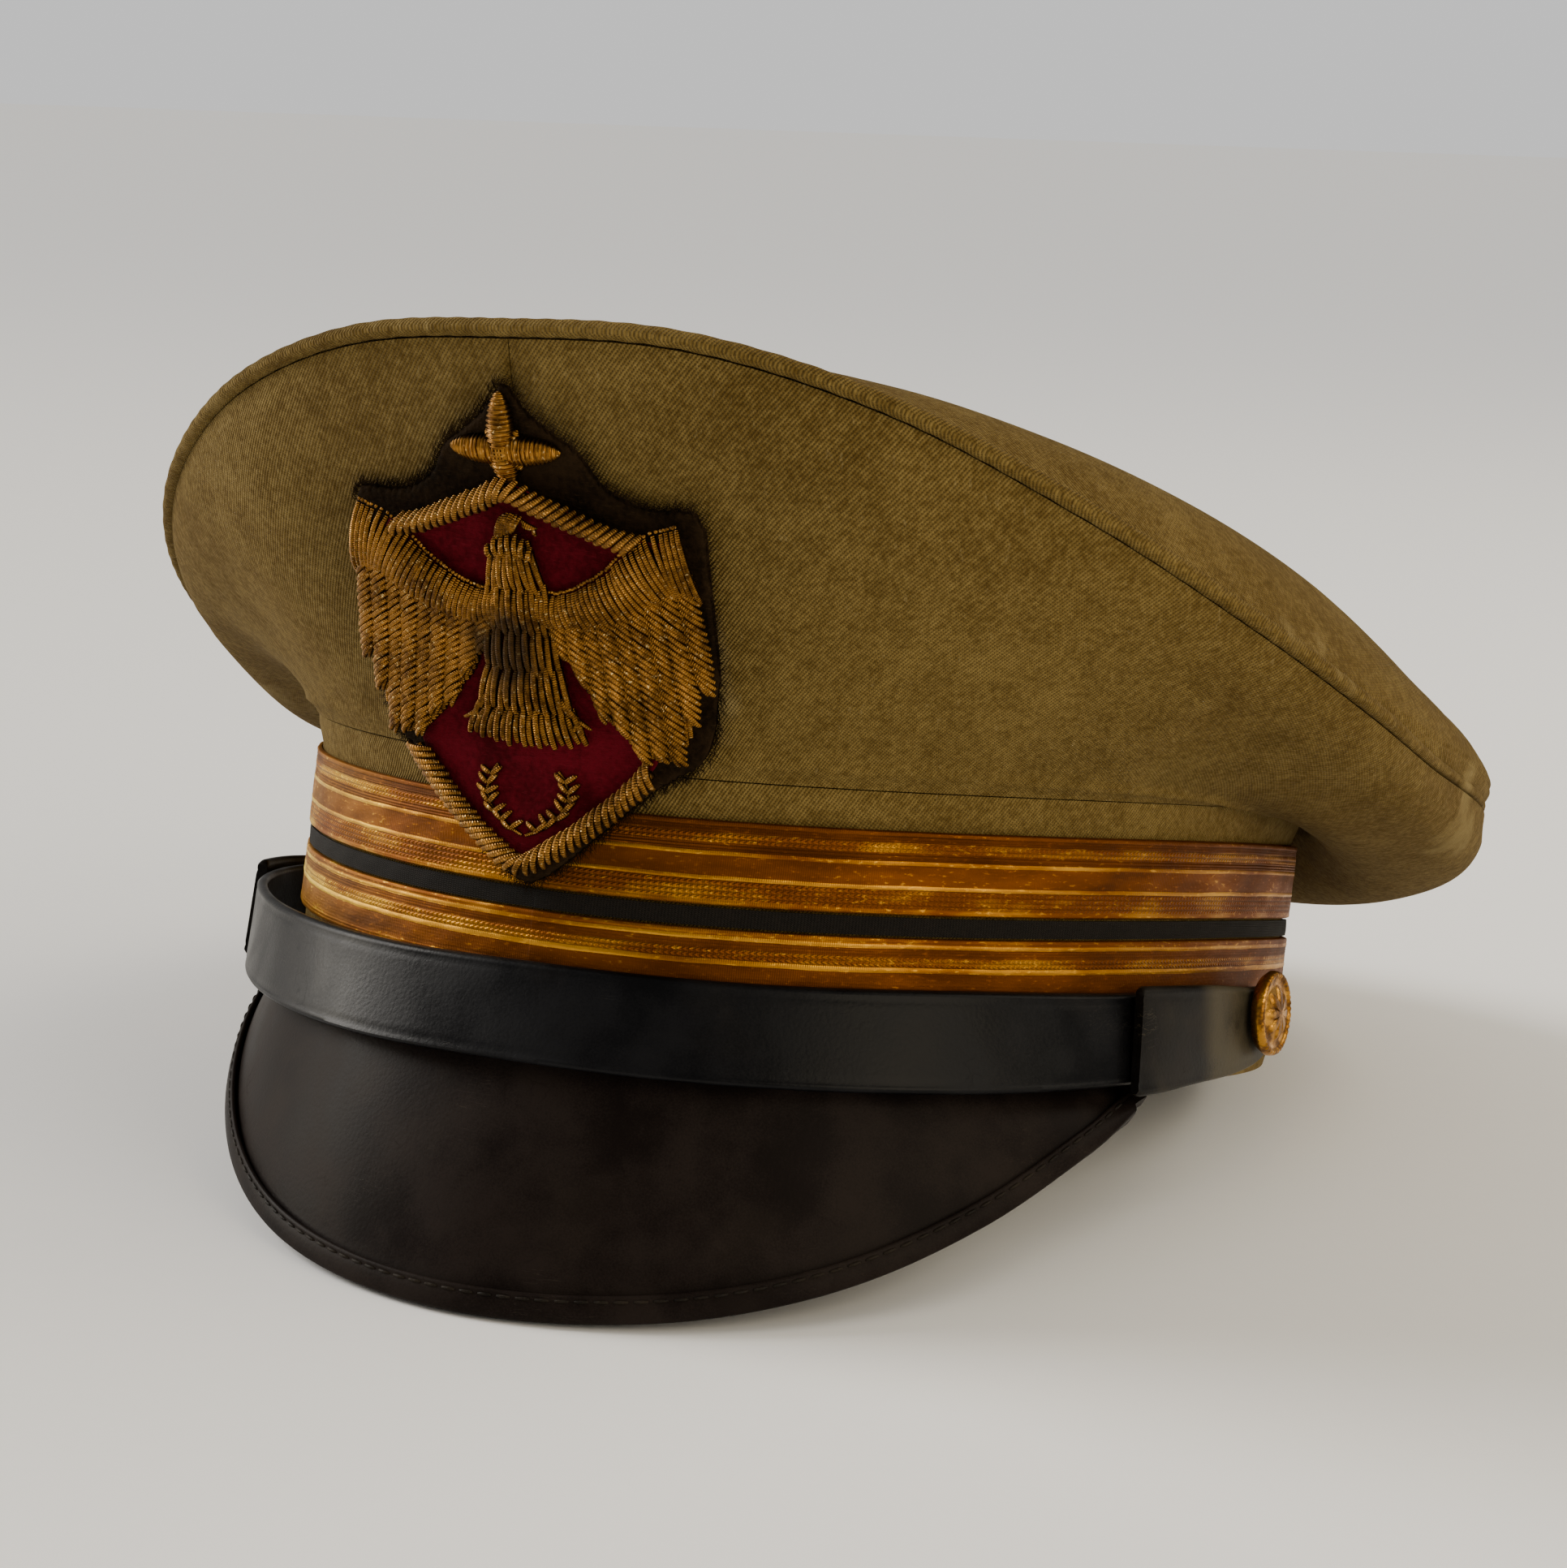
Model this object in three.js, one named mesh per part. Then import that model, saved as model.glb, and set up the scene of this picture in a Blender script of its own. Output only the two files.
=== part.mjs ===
// An officer's peaked cap: a hollow cloth crown with a corded seam, a stiff band with two rows of
// gold lace, a leather visor with a bound edge, a chin strap held by two buttoned tabs, and an
// embroidered badge. Sizes are in millimetres.
//
// Everything is laid out in the cap's own frame first: the head opening is the plane z = 0, the
// visor points to -Y, and phi is the angle round the head from the front, positive towards +X.
// At the end the cap is tipped back and set down on its visor and the rear edge of its band.
import * as THREE from "three";
import { mergeVertices } from "three/addons/utils/BufferGeometryUtils.js";

// Band: an egg-shaped oval, wider towards the back.
const BAND = { halfWidth: 82, halfLength: 95.5, power: 2.13, egg: 0.09, shift: 0 };
const BAND_WALL = 2;
const BAND_HEIGHT = 41;
const BAND_FLARE = 1.8; // the top edge leans out by this much
const FLARE_START = 35.5;
const SIDE_RISE = 4.6; // lace and top edge stand this much higher at the sides
const GAP = 0.3; // clearance between neighbouring pieces
const LACE_THICKNESS = 1;
const STRIPE_THICKNESS = 0.6;
const UPPER_LACE = { low: 22.4, high: 35.2 };
const LOWER_LACE = { low: 9.5, high: 19 };

// Crown: the corded seam is a wider oval, high in front and falling away to the back.
const SEAM = { halfWidth: 112, halfLength: 131, power: 2.25, egg: 0.065, shift: 8.7 };
const CLOTH = 1.5;
const CORD_RADIUS = 1.4;
const SEAM_LEAN = 4; // the seam stands higher on the wearer's left by this much
// Side sections. seam is the seam's height. The cloth leaves the band towards root_out, root_up and
// reaches the seam from belly_out beyond it and belly_down below it.
const CROWN_SECTIONS = [
  { phi: 0, seam: 103.3, root_out: 2, root_up: 16, belly_out: -7, belly_down: 20 },
  { phi: 15, seam: 102.3, root_out: 3, root_up: 15, belly_out: -6, belly_down: 20 },
  { phi: 30, seam: 95.6, root_out: 7, root_up: 13, belly_out: -1, belly_down: 19 },
  { phi: 45, seam: 83.8, root_out: 8, root_up: 12, belly_out: -4, belly_down: 14 },
  { phi: 60, seam: 71, root_out: 7, root_up: 10, belly_out: -5, belly_down: 11 },
  { phi: 75, seam: 60, root_out: 7, root_up: 6, belly_out: -5, belly_down: 10 },
  { phi: 90, seam: 52, root_out: 8, root_up: -4, belly_out: -4, belly_down: 11 },
  { phi: 120, seam: 44.5, root_out: 10, root_up: -22, belly_out: -1, belly_down: 14.5 },
  { phi: 150, seam: 40.5, root_out: 10, root_up: -26, belly_out: -1, belly_down: 15.5 },
  { phi: 180, seam: 36, root_out: 10, root_up: -26, belly_out: -1, belly_down: 15.5 },
];
// Top panel: along is the way from front to back, rise the height of its middle over the straight
// line between the two ends of the seam. Towards the seam the cloth stays flat and then rolls down.
const TOP_MIDLINE = [
  { along: 0, rise: 3 },
  { along: 0.15, rise: 9.5 },
  { along: 0.35, rise: 13.3 },
  { along: 0.6, rise: 16.2 },
  { along: 0.8, rise: 15 },
  { along: 0.93, rise: 10.5 },
  { along: 1, rise: 7 },
];
const TOP_ROLL_POWER = 9;

// Visor: a bent plate from the band's lower edge to a drooping outer edge.
const VISOR_EDGE = { halfWidth: 80.6, halfLength: 79.7, power: 1.8, egg: 0, shift: -31.5 };
const VISOR_LEAN = 1.2; // the edge sits this much towards the wearer's left
const VISOR_ROOT_HEIGHT = 1;
const VISOR_THICKNESS = 2;
const VISOR_BULGE = 1.6;
const VISOR_ANGLE = 87; // psi at the visor's corners
// drop is how far the edge hangs below the head opening at psi. The same line across the visor
// starts at the band where phi is root times psi.
const VISOR_ROWS = [
  { psi: 0, drop: 40.3, root: 0.77 },
  { psi: 15, drop: 39.3, root: 0.77 },
  { psi: 30, drop: 36, root: 0.775 },
  { psi: 45, drop: 29.8, root: 0.78 },
  { psi: 60, drop: 20.6, root: 0.785 },
  { psi: 75, drop: 9.7, root: 0.8 },
  { psi: 90, drop: 1.3, root: 0.822 },
];
const BINDING = { width: 4.2, wall: 0.7, web: 1.2, slack: 0.45, skip: 1 };

// Chin strap: heights of its two edges and how far its inner face stands off the band's wall. It
// runs under the tabs, where it ends just short of the buttons' middles.
const STRAP_THICKNESS = 1.8;
const STRAP_SECTIONS = [
  { phi: -95, top: 15.5, bottom: 4, off_top: 1.8, off_bottom: 1.8 },
  { phi: -88, top: 15.5, bottom: 2.4, off_top: 3.4, off_bottom: 3.8 },
  { phi: -74, top: 15.2, bottom: 1.4, off_top: 7, off_bottom: 7 },
  { phi: -60, top: 14.2, bottom: 0.4, off_top: 7.6, off_bottom: 7.8 },
  { phi: -45, top: 12.4, bottom: -1.8, off_top: 5.4, off_bottom: 7.6 },
  { phi: -20, top: 11, bottom: -3.6, off_top: 2.4, off_bottom: 7 },
  { phi: 0, top: 11.3, bottom: -3.4, off_top: 1.8, off_bottom: 6.8 },
  { phi: 25, top: 12.1, bottom: -2.8, off_top: 1.8, off_bottom: 7 },
  { phi: 50, top: 14, bottom: -1, off_top: 1.8, off_bottom: 7.2 },
  { phi: 66, top: 14.8, bottom: 1, off_top: 1.8, off_bottom: 6.8 },
  { phi: 76, top: 15.3, bottom: 2.4, off_top: 1.8, off_bottom: 4 },
  { phi: 88, top: 15.6, bottom: 3.6, off_top: 1.8, off_bottom: 2.8 },
  { phi: 95, top: 15.7, bottom: 5.4, off_top: 1.8, off_bottom: 1.8 },
];
// Tabs: the folded ends over the strap. wider is how far each edge stands past the strap's edge.
const TAB_THICKNESS = 1.8;
const TAB_SLACK = 0.8;
const TAB_SECTIONS = [
  { phi: 67, wider: 1.4 },
  { phi: 80, wider: 1.2 },
  { phi: 88, wider: 0.4 },
  { phi: 94, wider: -0.6 },
  { phi: 98, wider: -2.6 },
];
// Buttons: outline of half a section, from the middle of the face to the middle of the back.
const BUTTON_ANGLE = 88.8;
const BUTTON_HEIGHT = 12.1;
const BUTTON_PROFILE = [
  { radius: 0, out: 3.6 },
  { radius: 3.4, out: 3.3 },
  { radius: 5.5, out: 2.5 },
  { radius: 5.9, out: 2.5 },
  { radius: 6.3, out: 2.9 },
  { radius: 6.9, out: 2.6 },
  { radius: 7.1, out: 1.6 },
  { radius: 6.3, out: 0.4 },
  { radius: 3, out: 0 },
  { radius: 0, out: 0 },
];

// Badge: the face it is laid on, which rests on the lace below and on the crown above. out is its
// distance in front of the cap's middle, bend how far it curves back 10 mm to either side.
const BADGE_FACE = [
  { height: 20, out: 97.0, bend: 0.6 },
  { height: 36, out: 97.6, bend: 0.6 },
  { height: 44, out: 98.8, bend: 0.52 },
  { height: 52, out: 100.8, bend: 0.42 },
  { height: 60, out: 103.4, bend: 0.34 },
  { height: 76, out: 110.8, bend: 0.26 },
  { height: 100, out: 121.5, bend: 0.24 },
];
// Layers standing off that face by from and to. across is the distance to either side of the
// middle; low and high are heights over the head opening.
const BADGE_LAYERS = {
  backing: { from: 0.8, to: 1.8 },
  shield: { from: 2.3, to: 3.2 },
  wing: { from: 3.6, to: 5.2 },
  body: { from: 3.6, to: 6.4 },
};
const BACKING_ROWS = [
  { across: 0, low: 23, high: 95.5 },
  { across: 3.5, low: 24.5, high: 92 },
  { across: 7, low: 27.5, high: 89.5 },
  { across: 11, low: 31.5, high: 87 },
  { across: 14, low: 34.5, high: 83 },
  { across: 18, low: 38.5, high: 80.8 },
  { across: 22, low: 41.5, high: 80.2 },
  { across: 26, low: 44.5, high: 80.4 },
  { across: 28, low: 49.5, high: 80 },
  { across: 29.2, low: 57, high: 78 },
];
const SHIELD_ROWS = [
  { across: 0, low: 26, high: 82.4 },
  { across: 5, low: 28.6, high: 80.7 },
  { across: 10, low: 32.6, high: 78.8 },
  { across: 15, low: 37.6, high: 77 },
  { across: 20, low: 44.5, high: 76 },
  { across: 23, low: 54, high: 76 },
];
const WING_ROWS = [
  { across: 5.4, low: 60, high: 67.6 },
  { across: 9, low: 54, high: 69 },
  { across: 14, low: 48, high: 70.4 },
  { across: 18, low: 44.5, high: 73 },
  { across: 22, low: 43.8, high: 77.2 },
  { across: 25, low: 48, high: 78.6 },
  { across: 27.2, low: 56, high: 77.8 },
];
const BODY_ROWS = [
  { across: 0, low: 44, high: 80 },
  { across: 2.4, low: 44.6, high: 79 },
  { across: 3.6, low: 45.6, high: 76 },
  { across: 5, low: 47, high: 72 },
];
const ROPE_RADIUS = 1.45;
const ROPE_UPPER_SIDE = 19;
const ROPE_LOWER_SIDE = 17;
const STAR = { height: 87.4, top: 7.8, side: 9.4, corner: 4.9, short: 2.9, from: 2.2, to: 3.7 };

const radians = THREE.MathUtils.degToRad;
const lerp = THREE.MathUtils.lerp;

// Value of a column of a table at a key, by a cubic through its rows, level at both ends.
function column(table, key, name, at) {
  const last = table.length - 1;
  const x = Math.min(Math.max(at, table[0][key]), table[last][key]);
  let i = 0;
  while (i < last - 1 && x > table[i + 1][key]) i++;
  const slope = (k) =>
    k === 0 || k === last
      ? 0
      : (table[k + 1][name] - table[k - 1][name]) / (table[k + 1][key] - table[k - 1][key]);
  const step = table[i + 1][key] - table[i][key];
  const t = (x - table[i][key]) / step;
  const [p, q] = [table[i][name], table[i + 1][name]];
  const [m, n] = [slope(i) * step, slope(i + 1) * step];
  return (
    (2 * t ** 3 - 3 * t ** 2 + 1) * p +
    (t ** 3 - 2 * t ** 2 + t) * m +
    (3 * t ** 2 - 2 * t ** 3) * q +
    (t ** 3 - t ** 2) * n
  );
}

// Point of an oval grown outwards by grow, at angle phi in degrees and height z.
function ovalPoint(oval, phi, grow, z) {
  const s = Math.sin(radians(phi));
  const c = Math.cos(radians(phi));
  const r = (Math.abs(s) ** oval.power + Math.abs(c) ** oval.power) ** (-1 / oval.power);
  const y = -(oval.halfLength + grow) * c * r;
  const x = (oval.halfWidth + grow) * s * r * (1 + (oval.egg * y) / oval.halfLength);
  return new THREE.Vector3(x, y + oval.shift, z);
}

// How much higher the band's trim stands at phi. The band's lower edge stays flat.
function sideRise(phi, z) {
  return SIDE_RISE * Math.sin(radians(phi)) ** 2 * THREE.MathUtils.smoothstep(z, 0, 14);
}

// A solid from a row of closed sections. Each section lists one face's points and then the other
// face's in reverse, so the ends close as a ladder between the two faces.
function loft(sections, closed) {
  const count = sections[0].length;
  const position = sections.flat().flatMap((p) => p.toArray());
  const index = [];
  const at = (i, j) => (i % sections.length) * count + (j % count);
  const quad = (a, b, c, d) => index.push(a, b, c, a, c, d);
  const spans = closed ? sections.length : sections.length - 1;
  for (let i = 0; i < spans; i++)
    for (let j = 0; j < count; j++)
      quad(at(i, j), at(i + 1, j), at(i + 1, j + 1), at(i, j + 1));
  if (!closed) {
    const end = sections.length - 1;
    for (let j = 0; j < count / 2 - 1; j++) {
      const k = count - 1 - j;
      quad(at(0, j), at(0, j + 1), at(0, k - 1), at(0, k));
      quad(at(end, j), at(end, k), at(end, k - 1), at(end, j + 1));
    }
  }
  return solid(position, index);
}

// A closed geometry from points and triangles: shared points are merged, triangles without area
// are dropped, and the faces are turned outwards.
function solid(position, index) {
  let geometry = new THREE.BufferGeometry();
  geometry.setAttribute("position", new THREE.Float32BufferAttribute(position, 3));
  geometry.setIndex(index);
  geometry = mergeVertices(geometry, 1e-4);
  const kept = [];
  const old = geometry.index.array;
  for (let i = 0; i < old.length; i += 3) {
    const [a, b, c] = [old[i], old[i + 1], old[i + 2]];
    if (a !== b && b !== c && c !== a) kept.push(a, b, c);
  }
  const points = geometry.attributes.position;
  const corner = (k) => new THREE.Vector3().fromBufferAttribute(points, k);
  let volume = 0;
  for (let i = 0; i < kept.length; i += 3)
    volume += corner(kept[i]).dot(corner(kept[i + 1]).cross(corner(kept[i + 2])));
  if (volume < 0)
    for (let i = 0; i < kept.length; i += 3) [kept[i], kept[i + 1]] = [kept[i + 1], kept[i]];
  geometry.setIndex(kept);
  geometry.computeVertexNormals();
  return geometry;
}

// Evenly spaced numbers from start to end, both included.
function range(start, end, steps) {
  return Array.from({ length: steps + 1 }, (_, i) => lerp(start, end, i / steps));
}

// Angles once round the head, without repeating the first.
function round(steps) {
  return range(-180, 180, steps).slice(0, steps);
}

// A ring round the band between two heights and two growths of its oval.
function bandRing(low, high, inner, outer) {
  const edge = (phi, grow, z) => ovalPoint(BAND, phi, grow, z + sideRise(phi, z));
  return loft(
    round(RING_STEPS).map((phi) => [
      edge(phi, outer, low),
      edge(phi, outer, high),
      edge(phi, inner, high),
      edge(phi, inner, low),
    ]),
    true,
  );
}

// The stiff band: upright from the head opening, and flared just under the crown.
function bandBody() {
  const levels = [
    { z: 0, lean: 0 },
    { z: 14, lean: 0 },
    { z: FLARE_START, lean: 0 },
    { z: BAND_HEIGHT, lean: BAND_FLARE },
  ];
  const face = (phi, grow) =>
    levels.map((l) => ovalPoint(BAND, phi, grow + l.lean, l.z + sideRise(phi, l.z)));
  return loft(
    round(RING_STEPS).map((phi) => [...face(phi, 0), ...face(phi, -BAND_WALL).reverse()]),
    true,
  );
}

// The seam's centre at phi.
function seamPoint(phi) {
  const height = column(CROWN_SECTIONS, "phi", "seam", Math.abs(phi));
  return ovalPoint(SEAM, phi, 0, height + SEAM_LEAN * Math.sin(radians(phi)));
}

// Point of the crown's side at phi, from v = 0 at the band to v = 1 under the seam's cord.
function sidePoint(phi, v) {
  const section = (name) => column(CROWN_SECTIONS, "phi", name, Math.abs(phi));
  const root = ovalPoint(BAND, phi, BAND_FLARE, BAND_HEIGHT + GAP + sideRise(phi, BAND_HEIGHT));
  const seam = seamPoint(phi);
  const out = seam.clone().sub(root).setZ(0).normalize();
  const end = seam.clone().addScaledVector(out, -GAP);
  end.z -= CORD_RADIUS + GAP + 0.2;
  const first = root.clone().addScaledVector(out, section("root_out"));
  first.z += section("root_up");
  const second = end.clone().addScaledVector(out, section("belly_out"));
  second.z -= section("belly_down");
  return new THREE.CubicBezierCurve3(root, first, second, end).getPoint(v);
}

// Unit normal of a surface given as a function of two parameters.
function normalOf(surface, a, b, stepA, stepB) {
  const alongA = surface(a + stepA, b).sub(surface(a - stepA, b));
  const alongB = surface(a, b + stepB).sub(surface(a, b - stepB));
  return alongA.cross(alongB).normalize();
}

// One half of the crown's side, as a cloth wall.
function crownSide(from, to) {
  const edgeV = 0.002;
  const levels = range(edgeV, 1 - edgeV, SIDE_LEVELS);
  const section = (phi) => {
    const outer = levels.map((v) => sidePoint(phi, v));
    const inner = levels.map((v, k) =>
      outer[k].clone().addScaledVector(normalOf(sidePoint, phi, v, 0.5, edgeV), -CLOTH),
    );
    return [...outer, ...inner.reverse()];
  };
  return loft(range(from, to, RING_STEPS / 2).map(section), false);
}

// The corded seam, a closed round cord.
function seamCord() {
  const sides = 6;
  return loft(
    round(RING_STEPS).map((phi) => {
      const centre = seamPoint(phi);
      const along = seamPoint(phi + 0.5).sub(seamPoint(phi - 0.5)).normalize();
      const out = along.clone().cross(new THREE.Vector3(0, 0, 1)).normalize();
      const up = out.clone().cross(along);
      return range(0, 2 * Math.PI, sides)
        .slice(0, sides)
        .map((a) =>
          centre
            .clone()
            .addScaledVector(out, CORD_RADIUS * Math.cos(a))
            .addScaledVector(up, CORD_RADIUS * Math.sin(a)),
        );
    }),
    true,
  );
}

// Height of the crown's top on its middle line, at y.
function midlineHeight(y) {
  const front = seamPoint(0);
  const back = seamPoint(180);
  const t = THREE.MathUtils.clamp((y - front.y) / (back.y - front.y), 0, 1);
  return lerp(front.z, back.z, t) + column(TOP_MIDLINE, "along", "rise", t);
}

// Point of the top panel: r is 0 in the middle and 1 at the seam.
function topPoint(phi, r) {
  const seam = seamPoint(phi);
  const inset = CORD_RADIUS + GAP + 0.2;
  const reach = r * (1 - inset / Math.hypot(seam.x, seam.y - SEAM.shift));
  const x = seam.x * reach;
  const y = SEAM.shift + (seam.y - SEAM.shift) * reach;
  return new THREE.Vector3(x, y, lerp(midlineHeight(y), seam.z, r ** TOP_ROLL_POWER) + GAP);
}

// The crown's domed top, as a cloth wall.
function crownTop() {
  const radii = [0, 0.4, 0.7, 0.84, 0.92, 0.97, 1];
  return loft(
    round(RING_STEPS).map((phi) => {
      const outer = radii.map((r) => topPoint(phi, r));
      const inner = outer.map((p) => p.clone().setZ(p.z - CLOTH + 0.1));
      return [...outer, ...inner.reverse()];
    }),
    true,
  );
}

// Outer face of the visor: v is 0 at the band and 1 at the outer edge.
function visorPoint(psi, v) {
  const phi = psi * column(VISOR_ROWS, "psi", "root", Math.abs(psi));
  const root = ovalPoint(BAND, phi, GAP + VISOR_THICKNESS, VISOR_ROOT_HEIGHT);
  const drop = column(VISOR_ROWS, "psi", "drop", Math.abs(psi));
  const edge = ovalPoint(VISOR_EDGE, psi, 0, -drop);
  edge.x += VISOR_LEAN;
  const point = root.clone().lerp(edge, v);
  const out = new THREE.Vector3(Math.sin(radians(psi)), -Math.cos(radians(psi)), 0.25);
  return point.addScaledVector(out, VISOR_BULGE * Math.cos(radians(psi)) * 4 * v * (1 - v));
}

// Point at a depth behind the visor's outer face.
function visorLayer(psi, v, depth) {
  const normal = normalOf(visorPoint, psi, v, 0.5, 0.01);
  return visorPoint(psi, v).addScaledVector(normal, depth);
}

// Share of the visor's slope at psi that a length in millimetres takes up.
function visorShare(psi, length) {
  return length / visorPoint(psi, 0).distanceTo(visorPoint(psi, 1));
}

// The leather plate. It stops inside the binding.
function visorPlate() {
  return loft(
    range(-VISOR_ANGLE, VISOR_ANGLE, VISOR_STEPS).map((psi) => {
      const under = 1 - visorShare(psi, BINDING.width);
      const levels = [...range(0, under, 4), 1 - visorShare(psi, BINDING.web + BINDING.slack)];
      const outer = levels.map((v) => visorLayer(psi, v, 0));
      const inner = levels.map((v) => visorLayer(psi, v, -VISOR_THICKNESS));
      return [...outer, ...inner.reverse()];
    }),
    false,
  );
}

// The folded strip round the visor's outer edge. It ends short of the corners by a few steps.
function visorBinding() {
  const all = range(-VISOR_ANGLE, VISOR_ANGLE, VISOR_STEPS);
  const angles = all.slice(BINDING.skip, all.length - BINDING.skip);
  const near = BINDING.slack;
  const far = BINDING.slack + BINDING.wall;
  return loft(
    angles.map((psi) => {
      const top = 1 - visorShare(psi, BINDING.width);
      const fold = 1 - visorShare(psi, BINDING.web);
      const back = -VISOR_THICKNESS;
      return [
        visorLayer(psi, top, far),
        visorLayer(psi, 1, far),
        visorLayer(psi, 1, back - far),
        visorLayer(psi, top, back - far),
        visorLayer(psi, top, back - near),
        visorLayer(psi, fold, back - near),
        visorLayer(psi, fold, near),
        visorLayer(psi, top, near),
      ];
    }),
    false,
  );
}

// A corner of the strap or of a tab over it: side is top or bottom, grow how far it stands off the
// strap's inner face, wider how far past the strap's edge.
function strapCorner(phi, side, grow, wider) {
  const value = (name) => column(STRAP_SECTIONS, "phi", name, phi);
  const outwards = side === "top" ? wider : -wider;
  return ovalPoint(BAND, phi, value("off_" + side) + grow, value(side) + outwards);
}

// A strip of leather along the strap, between two angles and two distances off it.
function strapStrip(from, to, steps, inner, outer, wider) {
  return loft(
    range(from, to, steps).map((phi) => [
      strapCorner(phi, "bottom", outer, wider(phi)),
      strapCorner(phi, "top", outer, wider(phi)),
      strapCorner(phi, "top", inner, wider(phi)),
      strapCorner(phi, "bottom", inner, wider(phi)),
    ]),
    false,
  );
}

// The chin strap, from button to button.
function chinStrap() {
  const end = STRAP_SECTIONS[STRAP_SECTIONS.length - 1].phi;
  return strapStrip(-end, end, STRAP_STEPS, 0, STRAP_THICKNESS, () => 0);
}

// The tab over one end of the strap. side is 1 on the wearer's left and -1 on the right.
function strapTab(side) {
  const inner = STRAP_THICKNESS + TAB_SLACK;
  const from = TAB_SECTIONS[0].phi * side;
  const to = TAB_SECTIONS[TAB_SECTIONS.length - 1].phi * side;
  const wider = (phi) => column(TAB_SECTIONS, "phi", "wider", Math.abs(phi));
  return strapStrip(from, to, TAB_STEPS, inner, inner + TAB_THICKNESS, wider);
}

// The button that holds a tab, square to the tab's face.
function button(side) {
  const off = STRAP_THICKNESS + TAB_SLACK + TAB_THICKNESS + GAP;
  const face = (phi, z) => {
    const low = strapCorner(phi, "bottom", off, 0);
    const high = strapCorner(phi, "top", off, 0);
    return low.lerp(high, (z - low.z) / (high.z - low.z));
  };
  const phi = BUTTON_ANGLE * side;
  const outline = BUTTON_PROFILE.map((row) => new THREE.Vector2(row.radius, row.out));
  const lathe = new THREE.LatheGeometry(outline, BUTTON_SIDES);
  const up = new THREE.Vector3(0, 1, 0);
  const facing = normalOf(face, phi, BUTTON_HEIGHT, 0.5, 0.5);
  lathe.applyQuaternion(new THREE.Quaternion().setFromUnitVectors(up, facing));
  lathe.translate(...face(phi, BUTTON_HEIGHT).toArray());
  return solid(lathe.attributes.position.array, Array.from(lathe.index.array));
}

// Point standing off the badge's face, at x across and z up.
function badgePoint(x, z, off) {
  const face = (acrossX, height) =>
    new THREE.Vector3(
      acrossX,
      column(BADGE_FACE, "height", "bend", height) * (acrossX / 10) ** 2 -
        column(BADGE_FACE, "height", "out", height),
      height,
    );
  return face(x, z).addScaledVector(normalOf(face, x, z, 0.5, 0.5), off);
}

// A layer of the badge between two distances to one side of its middle.
function badgeLayer(rows, layer, from, to, steps) {
  return loft(
    range(from, to, steps).map((x) => {
      const value = (name) => column(rows, "across", name, Math.abs(x));
      const heights = range(value("low"), value("high"), BADGE_LEVELS);
      const outer = heights.map((z) => badgePoint(x, z, layer.to));
      const inner = heights.map((z) => badgePoint(x, z, layer.from));
      return [...outer, ...inner.reverse()];
    }),
    false,
  );
}

// The rope along one edge of the shield.
function badgeRope(edge, side) {
  const off = BADGE_LAYERS.shield.to + GAP + ROPE_RADIUS;
  const place = (x) =>
    badgePoint(x, column(SHIELD_ROWS, "across", edge, Math.abs(x)), off);
  const sides = 6;
  const halves = range(-side, side, ROPE_STEPS);
  const sections = halves.map((x) => {
    const centre = place(x);
    const along = place(x + 0.2).sub(place(x - 0.2)).normalize();
    const front = new THREE.Vector3(0, -1, 0);
    const up = along.clone().cross(front).normalize();
    const out = up.clone().cross(along);
    return range(0, 2 * Math.PI, sides)
      .slice(0, sides)
      .map((a) =>
        centre
          .clone()
          .addScaledVector(out, ROPE_RADIUS * Math.cos(a))
          .addScaledVector(up, ROPE_RADIUS * Math.sin(a)),
      );
  });
  return loft(sections, false);
}

// The star over the shield: eight rays, the longest to either side, the lowest cut short by the rope.
function badgeStar() {
  const rays = ["side", "corner", "top", "corner", "side", "corner", "short", "corner"];
  const corners = rays.length * 2;
  const outline = range(0, 2 * Math.PI, corners)
    .slice(0, corners)
    .map((a, k) => {
      const reach = STAR[k % 2 ? "short" : rays[k / 2]];
      return new THREE.Vector2(reach * Math.cos(a), STAR.height + reach * Math.sin(a));
    });
  const faces = THREE.ShapeUtils.triangulateShape(outline, []);
  const position = [STAR.from, STAR.to].flatMap((off) =>
    outline.flatMap((p) => badgePoint(p.x, p.y, off).toArray()),
  );
  const index = faces.flatMap(([a, b, c]) => [a, c, b, a + corners, b + corners, c + corners]);
  outline.forEach((_, k) => {
    const next = (k + 1) % corners;
    index.push(k, next, next + corners, k, next + corners, k + corners);
  });
  return solid(position, index);
}

// Angle by which the cap tips back to stand on its visor and the rear edge of its band.
function restingTilt(meshes) {
  const lowest = (names, angle) => {
    let low = Infinity;
    for (const mesh of meshes) {
      if (!names.includes(mesh.name)) continue;
      const points = mesh.geometry.attributes.position;
      for (let i = 0; i < points.count; i++)
        low = Math.min(low, points.getZ(i) * Math.cos(angle) - points.getY(i) * Math.sin(angle));
    }
    return low;
  };
  let [less, more] = [0, radians(30)];
  for (let i = 0; i < 40; i++) {
    const angle = (less + more) / 2;
    if (lowest(["visor", "visor_binding"], angle) < lowest(["band"], angle)) less = angle;
    else more = angle;
  }
  return less;
}

const RING_STEPS = 60;
const SIDE_LEVELS = 8;
const VISOR_STEPS = 36;
const STRAP_STEPS = 48;
const TAB_STEPS = 8;
const BUTTON_SIDES = 18;
const BADGE_LEVELS = 5;
const ROPE_STEPS = 26;

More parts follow.
